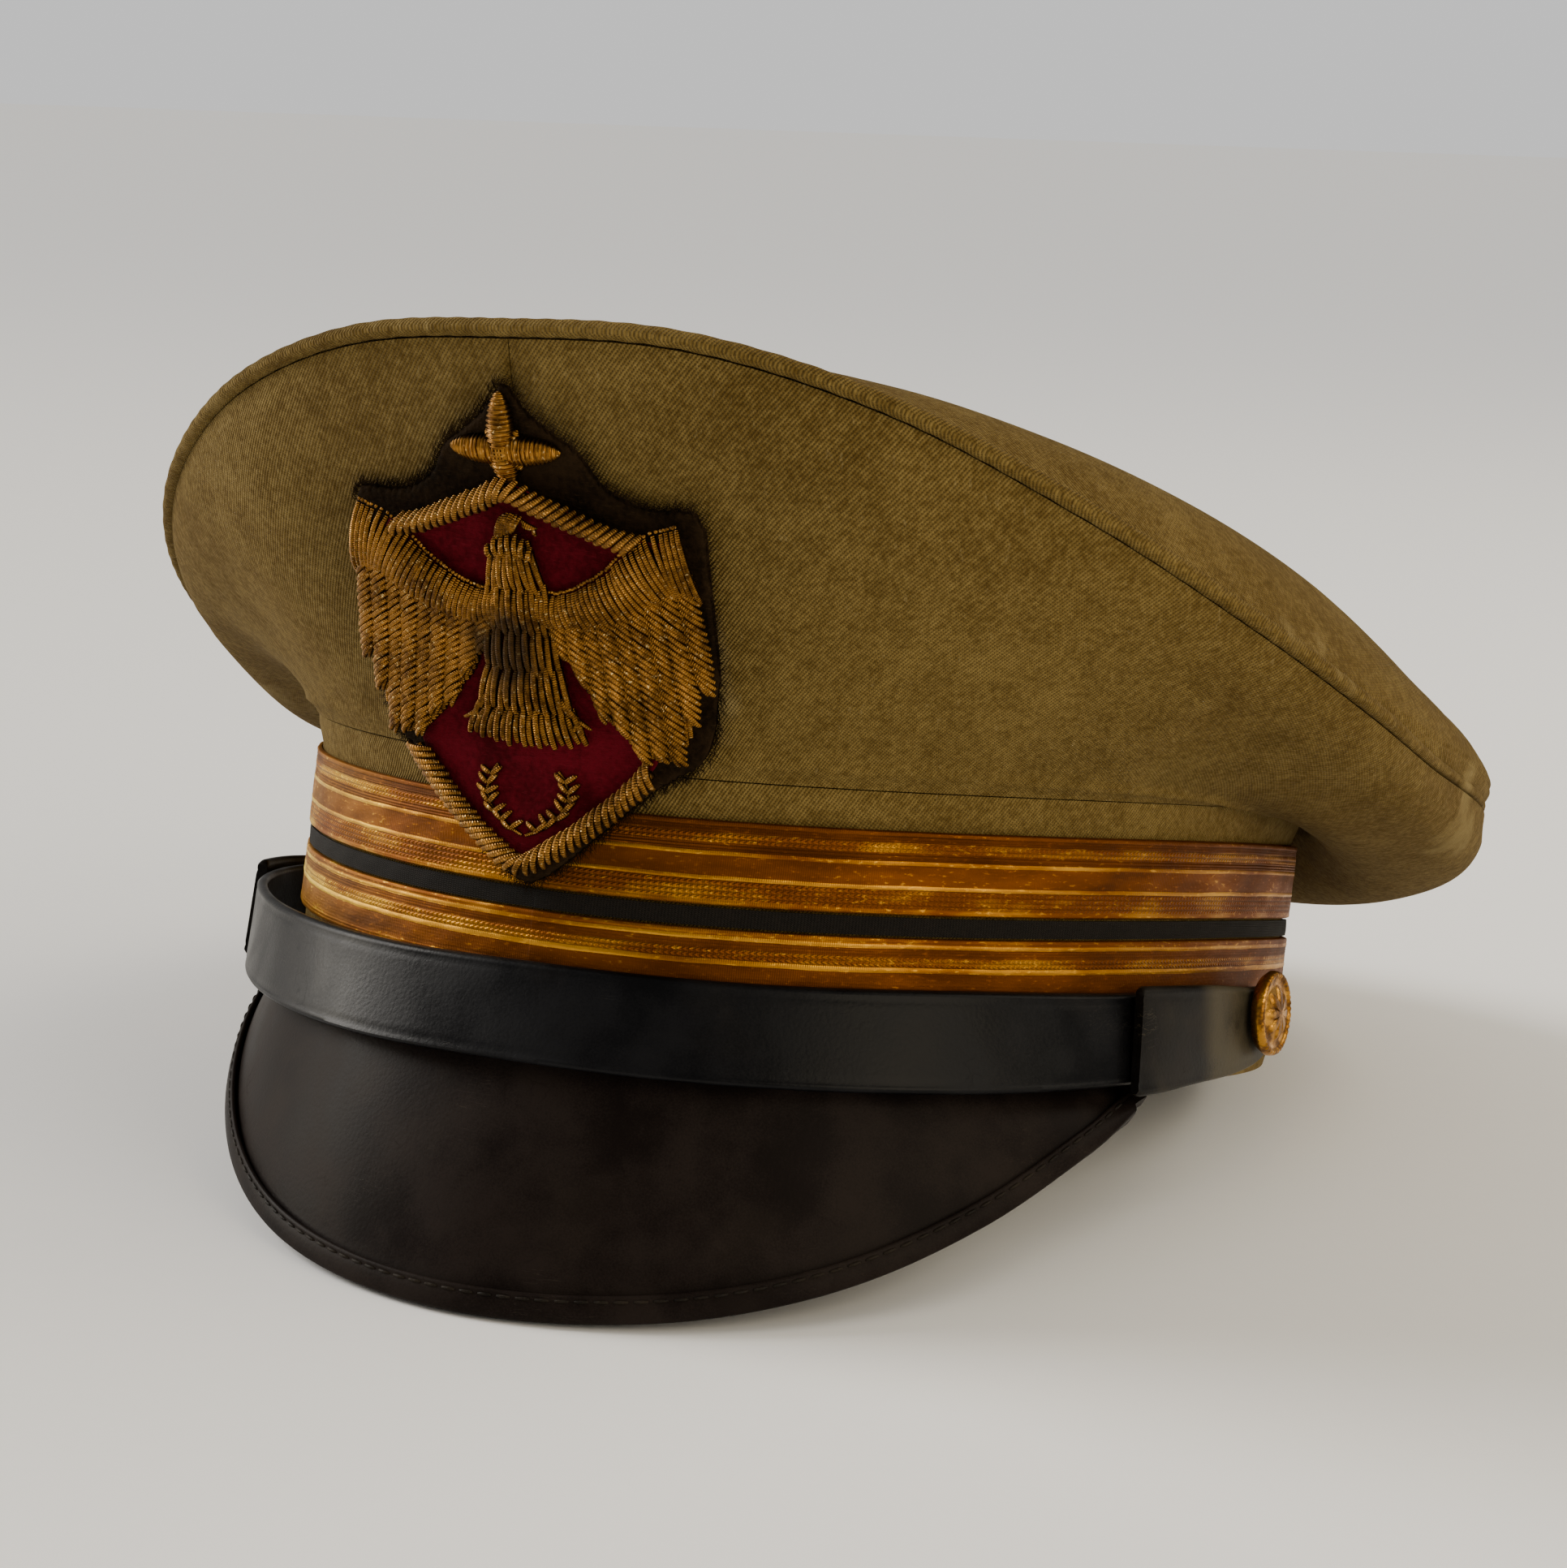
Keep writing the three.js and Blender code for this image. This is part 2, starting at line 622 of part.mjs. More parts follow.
const MATERIALS = {
  khaki: { color: 0x6f6142, roughness: 0.95, metalness: 0 },
  gold_lace: { color: 0xb0761c, roughness: 0.5, metalness: 0.6 },
  dark_cloth: { color: 0x26251c, roughness: 0.95, metalness: 0 },
  black_leather: { color: 0x14141a, roughness: 0.4, metalness: 0 },
  brown_leather: { color: 0x1d1815, roughness: 0.5, metalness: 0 },
  gilt: { color: 0xb07a1e, roughness: 0.35, metalness: 0.9 },
  crimson_felt: { color: 0x5a1018, roughness: 0.95, metalness: 0 },
  brown_felt: { color: 0x33261a, roughness: 0.95, metalness: 0 },
  gold_thread: { color: 0xa9762a, roughness: 0.5, metalness: 0.5 },
};

const cap = new THREE.Group();

function add(name, geometry, look) {
  const mesh = new THREE.Mesh(geometry, new THREE.MeshStandardMaterial(MATERIALS[look]));
  mesh.name = name;
  cap.add(mesh);
}

add("band", bandBody(), "khaki");
add(
  "lace_upper",
  bandRing(UPPER_LACE.low, UPPER_LACE.high, GAP, GAP + LACE_THICKNESS),
  "gold_lace",
);
add(
  "lace_stripe",
  bandRing(LOWER_LACE.high + GAP, UPPER_LACE.low - GAP, GAP, GAP + STRIPE_THICKNESS),
  "dark_cloth",
);
add(
  "lace_lower",
  bandRing(LOWER_LACE.low, LOWER_LACE.high, GAP, GAP + LACE_THICKNESS),
  "gold_lace",
);
const SEAM_SLIT = 0.12; // half the slit between the crown's halves, in degrees
add("crown_side_left", crownSide(SEAM_SLIT, 180 - SEAM_SLIT), "khaki");
add("crown_side_right", crownSide(-180 + SEAM_SLIT, -SEAM_SLIT), "khaki");
add("crown_seam_cord", seamCord(), "khaki");
add("crown_top", crownTop(), "khaki");
add("visor", visorPlate(), "brown_leather");
add("visor_binding", visorBinding(), "brown_leather");
add("chin_strap", chinStrap(), "black_leather");
for (const [name, side] of [["left", 1], ["right", -1]]) {
  add("strap_tab_" + name, strapTab(side), "black_leather");
  add("strap_button_" + name, button(side), "gilt");
}
add("badge_backing", badgeLayer(BACKING_ROWS, BADGE_LAYERS.backing, -29.2, 29.2, 28), "brown_felt");
add("badge_shield", badgeLayer(SHIELD_ROWS, BADGE_LAYERS.shield, -23, 23, 20), "crimson_felt");
add("badge_rope_upper", badgeRope("high", ROPE_UPPER_SIDE), "gold_thread");
add("badge_rope_lower", badgeRope("low", ROPE_LOWER_SIDE), "gold_thread");
add("badge_wing_left", badgeLayer(WING_ROWS, BADGE_LAYERS.wing, 5.4, 27.2, 10), "gold_thread");
add("badge_wing_right", badgeLayer(WING_ROWS, BADGE_LAYERS.wing, -27.2, -5.4, 10), "gold_thread");
add("badge_eagle_body", badgeLayer(BODY_ROWS, BADGE_LAYERS.body, -5, 5, 8), "gold_thread");
add("badge_star", badgeStar(), "gold_thread");

// Tip the cap back and set it down, with the middle of its outline over the origin.
const tilt = restingTilt(cap.children);
for (const mesh of cap.children) mesh.geometry.rotateX(-tilt);
const bounds = new THREE.Box3().setFromObject(cap);
const middle = bounds.getCenter(new THREE.Vector3());
for (const mesh of cap.children) mesh.geometry.translate(-middle.x, -middle.y, -bounds.min.z);

export default cap;
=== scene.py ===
"""The looks of an officer's peaked cap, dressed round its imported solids.

Sizes are in millimetres in the cap's own frame, as in the part's source: the head opening is the
plane z = 0, the visor points to -Y, and phi is the angle round the head from the front, positive
towards +X. Pose.place() tips a point back with the resting cap and gives metres.
"""

import logging
import math
from dataclasses import dataclass, field
from enum import Enum
from functools import cache
from typing import Callable, Sequence

import bpy
import numpy as np
from mathutils import Matrix, Vector


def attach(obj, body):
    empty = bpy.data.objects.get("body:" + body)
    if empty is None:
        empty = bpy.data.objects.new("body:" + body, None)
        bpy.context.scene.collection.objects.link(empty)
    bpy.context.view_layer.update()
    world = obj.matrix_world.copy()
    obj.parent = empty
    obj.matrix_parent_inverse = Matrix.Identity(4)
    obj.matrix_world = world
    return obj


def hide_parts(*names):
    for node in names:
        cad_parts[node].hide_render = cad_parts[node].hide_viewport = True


LOG = logging.getLogger("cap")
Array = np.ndarray
Table = dict[str, Sequence[float]]
Rgb = tuple[float, float, float]

MM = 1000.0
PLACE = "millimetres"
UP = np.array([0.0, 0.0, 1.0])
GAP = 0.3
THREAD_ROUND = 3.0
COIL_PITCH = 0.34
LACE_RIDGE = 0.46
LACE_ROWS = 78


# --- Form ---


@dataclass(frozen=True)
class Oval:
    """An egg-shaped oval round the head.

    Attributes:
        half_width: Half its width.
        half_length: Half its length.
        power: 2 for an ellipse, more for a squarer form.
        egg: How much wider the rear is, as a share.
        shift: How far back its middle lies.
    """

    half_width: float
    half_length: float
    power: float
    egg: float = 0.0
    shift: float = 0.0

    def point(self, phi: Array, grow: Array, z: Array) -> Array:
        """Gives a point of the oval grown outwards.

        Args:
            phi: Angle round the head in degrees.
            grow: Distance that the oval is grown by.
            z: Height of the point.

        Returns:
            Points with x, y and z last.
        """
        s = np.sin(np.radians(phi))
        c = np.cos(np.radians(phi))
        r = (np.abs(s) ** self.power + np.abs(c) ** self.power) ** (-1 / self.power)
        y = -(self.half_length + grow) * c * r
        x = (self.half_width + grow) * s * r * (1 + self.egg * y / self.half_length)
        return np.stack(np.broadcast_arrays(x, y + self.shift, z), -1)


BAND = Oval(82, 95.5, 2.13, egg=0.09)
BAND_HEIGHT = 41.0
BAND_FLARE = 1.8
FLARE_START = 35.5
SIDE_RISE = 4.6
UPPER_LACE = (22.4, 35.2)
LOWER_LACE = (9.5, 19.0)
LACE_THICKNESS = 1.0
STRIPE_THICKNESS = 0.6

SEAM = Oval(112, 131, 2.25, egg=0.065, shift=8.7)
CLOTH = 1.5
CORD_RADIUS = 1.4
SEAM_LEAN = 4.0
CROWN_SECTIONS: Table = {
    "phi": (0, 15, 30, 45, 60, 75, 90, 120, 150, 180),
    "seam": (103.3, 102.3, 95.6, 83.8, 71, 60, 52, 44.5, 40.5, 36),
    "root_out": (2, 3, 7, 8, 7, 7, 8, 10, 10, 10),
    "root_up": (16, 15, 13, 12, 10, 6, -4, -22, -26, -26),
    "belly_out": (-7, -6, -1, -4, -5, -5, -4, -1, -1, -1),
    "belly_down": (20, 20, 19, 14, 11, 10, 11, 14.5, 15.5, 15.5),
}
TOP_MIDLINE: Table = {
    "along": (0, 0.15, 0.35, 0.6, 0.8, 0.93, 1),
    "rise": (3, 9.5, 13.3, 16.2, 15, 10.5, 7),
}
TOP_ROLL_POWER = 9

VISOR_EDGE = Oval(80.6, 79.7, 1.8, shift=-31.5)
VISOR_LEAN = 1.2
VISOR_ROOT_HEIGHT = 1.0
VISOR_THICKNESS = 2.0
VISOR_BULGE = 1.6
VISOR_ANGLE = 87.0
VISOR_ROWS: Table = {
    "psi": (0, 15, 30, 45, 60, 75, 90),
    "drop": (40.3, 39.3, 36, 29.8, 20.6, 9.7, 1.3),
    "root": (0.77, 0.77, 0.775, 0.78, 0.785, 0.8, 0.822),
}
BINDING_WIDTH = 4.2

STRAP_THICKNESS = 1.8
STRAP_SECTIONS: Table = {
    "phi": (-95, -88, -74, -60, -45, -20, 0, 25, 50, 66, 76, 88, 95),
    "top": (15.5, 15.5, 15.2, 14.2, 12.4, 11, 11.3, 12.1, 14, 14.8, 15.3, 15.6, 15.7),
    "bottom": (4, 2.4, 1.4, 0.4, -1.8, -3.6, -3.4, -2.8, -1, 1, 2.4, 3.6, 5.4),
    "off_top": (1.8, 3.4, 7, 7.6, 5.4, 2.4, 1.8, 1.8, 1.8, 1.8, 1.8, 1.8, 1.8),
    "off_bottom": (1.8, 3.8, 7, 7.8, 7.6, 7, 6.8, 7, 7.2, 6.8, 4, 2.8, 1.8),
}
TAB_THICKNESS = 1.8
TAB_SLACK = 0.8
TAB_SECTIONS: Table = {
    "phi": (67, 80, 88, 94, 98),
    "wider": (1.4, 1.2, 0.4, -0.6, -2.6),
}
BUTTON_ANGLE = 88.8
BUTTON_HEIGHT = 12.1

BADGE_FACE: Table = {
    "height": (20, 36, 44, 52, 60, 76, 100),
    "out": (97, 97.6, 98.8, 100.8, 103.4, 110.8, 121.5),
    "bend": (0.6, 0.6, 0.52, 0.42, 0.34, 0.26, 0.24),
}
SHIELD_ROWS: Table = {
    "across": (0, 5, 10, 15, 20, 23),
    "low": (26, 28.6, 32.6, 37.6, 44.5, 54),
    "high": (82.4, 80.7, 78.8, 77, 76, 76),
}
BACKING_ROWS: Table = {
    "across": (0, 3.5, 7, 11, 14, 18, 22, 26, 28, 29.2),
    "low": (23, 24.5, 27.5, 31.5, 34.5, 38.5, 41.5, 44.5, 49.5, 57),
    "high": (95.5, 92, 89.5, 87, 83, 80.8, 80.2, 80.4, 80, 78),
}
WING_ROWS: Table = {
    "across": (5.4, 9, 14, 18, 22, 25, 27.2),
    "low": (60, 54, 48, 44.5, 43.8, 48, 56),
    "high": (67.6, 69, 70.4, 73, 77.2, 78.6, 77.8),
}


def column(table: Table, key: str, name: str, at: Array) -> Array:
    """Reads a column of a table by a cubic through its rows, level at both ends.

    Args:
        table: Columns by name.
        key: Column that at refers to.
        name: Column to read.
        at: Where to read it.

    Returns:
        The column's values there.
    """
    keys = np.asarray(table[key], float)
    values = np.asarray(table[name], float)
    at = np.clip(np.asarray(at, float), keys[0], keys[-1])
    i = np.clip(np.searchsorted(keys, at, side="left") - 1, 0, len(keys) - 2)
    slope = np.zeros(len(keys))
    slope[1:-1] = (values[2:] - values[:-2]) / (keys[2:] - keys[:-2])
    step = keys[i + 1] - keys[i]
    t = (at - keys[i]) / step
    return (
        (2 * t**3 - 3 * t**2 + 1) * values[i]
        + (t**3 - 2 * t**2 + t) * slope[i] * step
        + (3 * t**2 - 2 * t**3) * values[i + 1]
        + (t**3 - t**2) * slope[i + 1] * step
    )


def smooth_step(x: Array, low: float, high: float) -> Array:
    """Rises smoothly from 0 at low to 1 at high."""
    t = np.clip((np.asarray(x, float) - low) / (high - low), 0, 1)
    return t * t * (3 - 2 * t)


def bell(x: Array, middle: float, wide: float) -> Array:
    """Gives a soft hump of height 1 at the middle."""
    return np.exp(-(((x - middle) / wide) ** 2))


def ripple(phi: Array, times: float, phase: Array = 0.0) -> Array:
    """Gives a wave that comes so many times round the head."""
    return np.sin(np.radians(phi) * times + phase)


def all_round(count: int) -> Array:
    """Gives evenly spread angles round the head."""
    return np.linspace(-180, 180, count, endpoint=False)


def grid(a: Array, b: Array) -> list[Array]:
    """Gives every pair of two lists of numbers."""
    return np.meshgrid(a, b, indexing="ij")


def run_along(line: Array) -> Array:
    """Gives the distance along a line at each of its points."""
    return np.concatenate([[0], np.cumsum(np.linalg.norm(np.diff(line, axis=0), axis=-1))])


def side_rise(phi: Array, z: Array) -> Array:
    """Gives how much higher the band's trim stands at phi."""
    return SIDE_RISE * ripple(phi, 1) ** 2 * smooth_step(z, 0, 14)


def unit(vectors: Array) -> Array:
    """Scales vectors to length 1."""
    return vectors / np.maximum(np.linalg.norm(vectors, axis=-1, keepdims=True), 1e-9)


def normal_of(surface: Callable[[Array, Array], Array], a: Array, b: Array, da: float, db: float) -> Array:
    """Gives a surface's unit normal.

    Args:
        surface: Points over two parameters.
        a: First parameter.
        b: Second parameter.
        da: Step in the first.
        db: Step in the second.

    Returns:
        Unit normals, on the side of the first step turned to the second.
    """
    along_a = surface(a + da, b) - surface(a - da, b)
    along_b = surface(a, b + db) - surface(a, b - db)
    return unit(np.cross(along_a, along_b))


def band_point(phi: Array, grow: Array, z: Array) -> Array:
    """Gives a point of the band or its trim, with the flare under the crown."""
    lean = BAND_FLARE * np.clip((np.asarray(z, float) - FLARE_START) / (BAND_HEIGHT - FLARE_START), 0, 1)
    return BAND.point(phi, grow + lean, z + side_rise(phi, z))


def seam_point(phi: Array) -> Array:
    """Gives the centre of the crown's corded seam."""
    height = column(CROWN_SECTIONS, "phi", "seam", np.abs(phi))
    return SEAM.point(phi, 0, height + SEAM_LEAN * ripple(phi, 1))


def side_point(phi: Array, v: Array) -> Array:
    """Gives a point of the crown's side.

    Args:
        phi: Angle round the head.
        v: 0 at the band and 1 under the seam.

    Returns:
        Points of the outer face.
    """
    phi, v = np.broadcast_arrays(np.asarray(phi, float), np.asarray(v, float))
    root = BAND.point(phi, BAND_FLARE, BAND_HEIGHT + GAP + side_rise(phi, BAND_HEIGHT))
    seam = seam_point(phi)
    out = seam - root
    out[..., 2] = 0
    out = unit(out)

    def value(name: str) -> Array:
        return column(CROWN_SECTIONS, "phi", name, np.abs(phi))[..., None]

    end = seam - out * GAP - UP * (CORD_RADIUS + GAP + 0.2)
    first = root + out * value("root_out") + UP * value("root_up")
    second = end + out * value("belly_out") - UP * value("belly_down")
    t = v[..., None]
    return (1 - t) ** 3 * root + 3 * (1 - t) ** 2 * t * first + 3 * (1 - t) * t**2 * second + t**3 * end


def midline_height(y: Array) -> Array:
    """Gives the height of the crown's top on its middle line.

    Args:
        y: Place on that line, from the front to the back.

    Returns:
        The height there.
    """
    front = seam_point(np.array(0.0))
    back = seam_point(np.array(180.0))
    t = np.clip((y - front[1]) / (back[1] - front[1]), 0, 1)
    return front[2] + (back[2] - front[2]) * t + column(TOP_MIDLINE, "along", "rise", t)


def top_point(phi: Array, r: Array) -> Array:
    """Gives a point of the crown's top.

    Args:
        phi: Angle round the head.
        r: 0 in the middle and 1 at the seam.

    Returns:
        Points of the outer face.
    """
    phi, r = np.broadcast_arrays(np.asarray(phi, float), np.asarray(r, float))
    seam = seam_point(phi)
    inset = CORD_RADIUS + GAP + 0.2
    reach = r * (1 - inset / np.hypot(seam[..., 0], seam[..., 1] - SEAM.shift))
    x = seam[..., 0] * reach
    y = SEAM.shift + (seam[..., 1] - SEAM.shift) * reach
    middle = midline_height(y)
    z = middle + (seam[..., 2] - middle) * r**TOP_ROLL_POWER + GAP
    return np.stack([x, y, z], -1)


def visor_point(psi: Array, v: Array) -> Array:
    """Gives a point of the visor's upper face.

    Args:
        psi: Angle round the visor.
        v: 0 at the band and 1 at the edge.

    Returns:
        Points of that face.
    """
    psi, v = np.broadcast_arrays(np.asarray(psi, float), np.asarray(v, float))
    phi = psi * column(VISOR_ROWS, "psi", "root", np.abs(psi))
    root = BAND.point(phi, GAP + VISOR_THICKNESS, np.array(VISOR_ROOT_HEIGHT))
    edge = VISOR_EDGE.point(psi, 0, -column(VISOR_ROWS, "psi", "drop", np.abs(psi)))
    edge = edge + (VISOR_LEAN, 0, 0)
    a = np.radians(psi)
    out = np.stack([np.sin(a), -np.cos(a), np.full_like(a, 0.25)], -1)
    t = v[..., None]
    bulge = VISOR_BULGE * np.cos(a)[..., None] * 4 * t * (1 - t)
    return root + (edge - root) * t + out * bulge


def visor_length(psi: Array) -> Array:
    """Gives the slope length of the visor at psi."""
    return np.linalg.norm(visor_point(psi, 1.0) - visor_point(psi, 0.0), axis=-1)


def strap_point(phi: Array, v: Array, grow: float, wider: Array) -> Array:
    """Gives a point of the chin strap or of a tab over it.

    Args:
        phi: Angle round the head.
        v: 0 at the lower edge and 1 at the upper.
        grow: Distance off the strap's inner face.
        wider: How far the edges stand past the strap's.

    Returns:
        Points of that face.
    """
    phi, v, wider = np.broadcast_arrays(phi, v, wider)

    def value(name: str) -> Array:
        return column(STRAP_SECTIONS, "phi", name, phi)

    low = BAND.point(phi, value("off_bottom") + grow, value("bottom") - wider)
    high = BAND.point(phi, value("off_top") + grow, value("top") + wider)
    return low + (high - low) * v[..., None]


def badge_face(x: Array, z: Array) -> Array:
    """Gives a point of the face that the badge is laid on.

    Args:
        x: Distance to the wearer's left of the middle.
        z: Height.

    Returns:
        Points of that face.
    """
    x, z = np.broadcast_arrays(np.asarray(x, float), np.asarray(z, float))
    bend = column(BADGE_FACE, "height", "bend", z) * (x / 10) ** 2
    return np.stack([x, bend - column(BADGE_FACE, "height", "out", z), z], -1)


def badge_point(x: Array, z: Array, off: Array) -> Array:
    """Gives a point standing off the badge's face.

    Args:
        x: Distance to the wearer's left of the middle.
        z: Height.
        off: Distance off the face.

    Returns:
        The points.
    """
    x, z, off = np.broadcast_arrays(np.asarray(x, float), np.asarray(z, float), np.asarray(off, float))
    return badge_face(x, z) + normal_of(badge_face, x, z, 0.5, 0.5) * off[..., None]


@dataclass(frozen=True)
class Pose:
    """How the cap lies on its visor and the rear edge of its band.

    Attributes:
        tilt: How far it is tipped back.
        back: Shift along y before the tipping.
        up: Shift along z before it.
    """

    tilt: float = 0.19449
    back: float = -16.1027
    up: float = 15.6389

    def place(self, points: Array) -> Array:
        """Moves points from the cap's own frame to the scene.

        Args:
            points: Points in millimetres.

        Returns:
            The same points in metres, resting on the floor.
        """
        points = np.asarray(points, float)
        y = points[..., 1] + self.back
        z = points[..., 2] + self.up
        c, s = math.cos(self.tilt), math.sin(self.tilt)
        return np.stack([points[..., 0], y * c + z * s, z * c - y * s], -1) / MM


POSE = Pose()


# --- Meshes ---


def link_mesh(
    name: str, points: Array, quads: Array, corners: Array, tris: Array | None = None, sharp: float = 50
) -> bpy.types.Object:
    """Makes a closed mesh object.

    Args:
        name: Name of the object.
        points: Points in the cap's frame, one a row.
        quads: Rows of four point numbers.
        corners: Texture coordinates in millimetres for each quad's corners.
        tris: Rows of three point numbers.
        sharp: Angle in degrees above which an edge stays sharp.

    Returns:
        The object, riding on the cap.
    """
    placed = POSE.place(points)
    volume = 0.0
    for face in (quads[:, [0, 1, 2]], quads[:, [0, 2, 3]]):
        a, b, c = placed[face[:, 0]], placed[face[:, 1]], placed[face[:, 2]]
        volume += float(np.einsum("ij,ij->i", a, np.cross(b, c)).sum())
    if volume < 0:
        quads = quads[:, ::-1]
        corners = corners[:, ::-1]
        tris = None if tris is None else tris[:, ::-1]
    faces = quads.tolist() + ([] if tris is None else tris.tolist())
    flat = corners.reshape(-1, 2)
    if tris is not None:
        flat = np.concatenate([flat, np.zeros((tris.size, 2))])
    mesh = bpy.data.meshes.new(name)
    mesh.from_pydata(placed.tolist(), [], faces)
    layer = mesh.uv_layers.new(name=PLACE)
    layer.data.foreach_set("uv", flat.reshape(-1).astype(np.float32))
    mesh.polygons.foreach_set("use_smooth", np.ones(len(faces), bool))
    mesh.set_sharp_from_angle(angle=math.radians(sharp))
    mesh.update()
    piece = bpy.data.objects.new(name, mesh)
    bpy.context.scene.collection.objects.link(piece)
    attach(piece, "root")
    return piece


def ring_faces(rows: int, count: int, closed: bool) -> tuple[Array, Array, Array]:
    """Numbers the quads of a lofted solid.

    Args:
        rows: Number of sections.
        count: Points in a section.
        closed: Whether the last section meets the first.

    Returns:
        The quads, and for each corner its section and place without wrapping round.
    """
    spans = rows if closed else rows - 1
    i, j = (number.ravel() for number in grid(np.arange(spans), np.arange(count)))
    section = np.stack([i, i + 1, i + 1, i], 1)
    place = np.stack([j, j, j + 1, j + 1], 1)
    return (section % rows) * count + place % count, section, place


def loft(
    name: str,
    outer: Array,
    inner: Array,
    closed: bool,
    sharp: float = 50,
    across: Array | None = None,
) -> bpy.types.Object:
    """Makes a closed wall between two faces.

    Args:
        name: Name of the object.
        outer: Points of one face by section and place.
        inner: Points of the other face, the same way round.
        closed: Whether the last section meets the first.
        sharp: Angle in degrees above which an edge stays sharp.
        across: Texture coordinate of each place, otherwise the distance along the section.

    Returns:
        The object.
    """
    rows, half = outer.shape[:2]
    sections = np.concatenate([outer, inner[:, ::-1]], 1)
    count = 2 * half
    quads, section, place = ring_faces(rows, count, closed)
    looped = np.concatenate([outer, outer[:1]], 0) if closed else outer
    around = run_along(looped[:, half // 2])
    if across is None:
        rise = np.zeros((looped.shape[0], half))
        rise[:, 1:] = np.cumsum(np.linalg.norm(np.diff(looped, axis=1), axis=-1), axis=1)
    else:
        rise = np.repeat(across[None], looped.shape[0], 0)
    both = np.concatenate([rise, rise[:, ::-1], rise[:, :1]], 1)
    corners = np.stack([around[section], both[section, place]], -1)
    if not closed:
        ladder = np.arange(half - 1)
        far = count - 1 - ladder
        quad = np.stack([ladder, ladder + 1, far - 1, far], 1)
        quads = np.concatenate([quads, quad, quad[:, ::-1] + (rows - 1) * count])
        corners = np.concatenate([corners, np.zeros((2 * len(quad), 4, 2))])
    return link_mesh(name, sections.reshape(-1, 3), quads, corners, sharp=sharp)


@dataclass
class Threads:
    """Collects many short tubes into one mesh. Texture runs THREAD_ROUND once round each."""

    sides: int = 7
    points: list[Array] = field(default_factory=list)
    quads: list[Array] = field(default_factory=list)
    tris: list[Array] = field(default_factory=list)
    corners: list[Array] = field(default_factory=list)
    count: int = 0

    def add(self, paths: Array, radii: Array, fronts: Array, flat: float = 1.0) -> None:
        """Adds tubes with closed ends.

        Args:
            paths: Middle lines by tube and step.
            radii: Radius at each step.
            fronts: Direction that each tube's flat side looks in.
            flat: Thickness as a share of the width.
        """
        tubes, steps = paths.shape[:2]
        radii = np.broadcast_to(radii, (tubes, steps))
        along = unit(np.gradient(paths, axis=1))
        side = unit(np.cross(along, np.broadcast_to(fronts, paths.shape)))
        out = np.cross(side, along)
        angle = np.arange(self.sides) * 2 * math.pi / self.sides
        ring = side[:, :, None] * np.cos(angle)[:, None]
        ring = ring + out[:, :, None] * (np.sin(angle) * flat)[:, None]
        body = paths[:, :, None] + ring * radii[:, :, None, None]
        start = paths[:, 0] - along[:, 0] * radii[:, :1] * 0.5
        stop = paths[:, -1] + along[:, -1] * radii[:, -1:] * 0.5
        tips = np.stack([start, stop], 1)
        self.points.append(np.concatenate([body.reshape(tubes, -1, 3), tips], 1).reshape(-1, 3))
        quads, section, place = ring_faces(steps, self.sides, False)
        size = steps * self.sides + 2
        first = self.count + np.arange(tubes) * size
        length = np.zeros((tubes, steps))
        length[:, 1:] = np.cumsum(np.linalg.norm(np.diff(paths, axis=1), axis=-1), axis=1)
        around = np.broadcast_to(place * THREAD_ROUND / self.sides, (tubes, *place.shape))
        self.corners.append(np.stack([around, length[:, section]], -1).reshape(-1, 4, 2))
        self.quads.append((quads[None] + first[:, None, None]).reshape(-1, 4))
        k = np.arange(self.sides)
        following = (k + 1) % self.sides
        last = (steps - 1) * self.sides
        near = np.stack([k, following, np.full_like(k, size - 2)], 1)
        far = np.stack([last + following, last + k, np.full_like(k, size - 1)], 1)
        caps = np.concatenate([near, far])
        self.tris.append((caps[None] + first[:, None, None]).reshape(-1, 3))
        self.count += tubes * size

    def build(self, name: str) -> bpy.types.Object:
        """Makes the mesh object."""
        quads, corners = np.concatenate(self.quads), np.concatenate(self.corners)
        return link_mesh(name, np.concatenate(self.points), quads, corners, np.concatenate(self.tris), 80)


# --- Shader groups ---


@dataclass(frozen=True)
class Signal:
    """A value or a colour in a shader. Sums and products of it add Math nodes."""

    graph: "Graph"
    socket: bpy.types.NodeSocket

    def __add__(self, other: object) -> "Signal":
        """Adds a value."""
        return self.graph.math("ADD", self, other)

    def __sub__(self, other: object) -> "Signal":
        """Takes a value away."""
        return self.graph.math("SUBTRACT", self, other)

    def __mul__(self, other: object) -> "Signal":
        """Multiplies by a value."""
        return self.graph.math("MULTIPLY", self, other)

    def __truediv__(self, other: object) -> "Signal":
        """Divides by a value."""
        return self.graph.math("DIVIDE", self, other)


@dataclass(frozen=True)
class Ports:
    """The outputs of a node, by name."""

    graph: "Graph"
    node: bpy.types.Node

    def __getitem__(self, name: str) -> Signal:
        """Gives an output."""
        return Signal(self.graph, self.node.outputs[name])


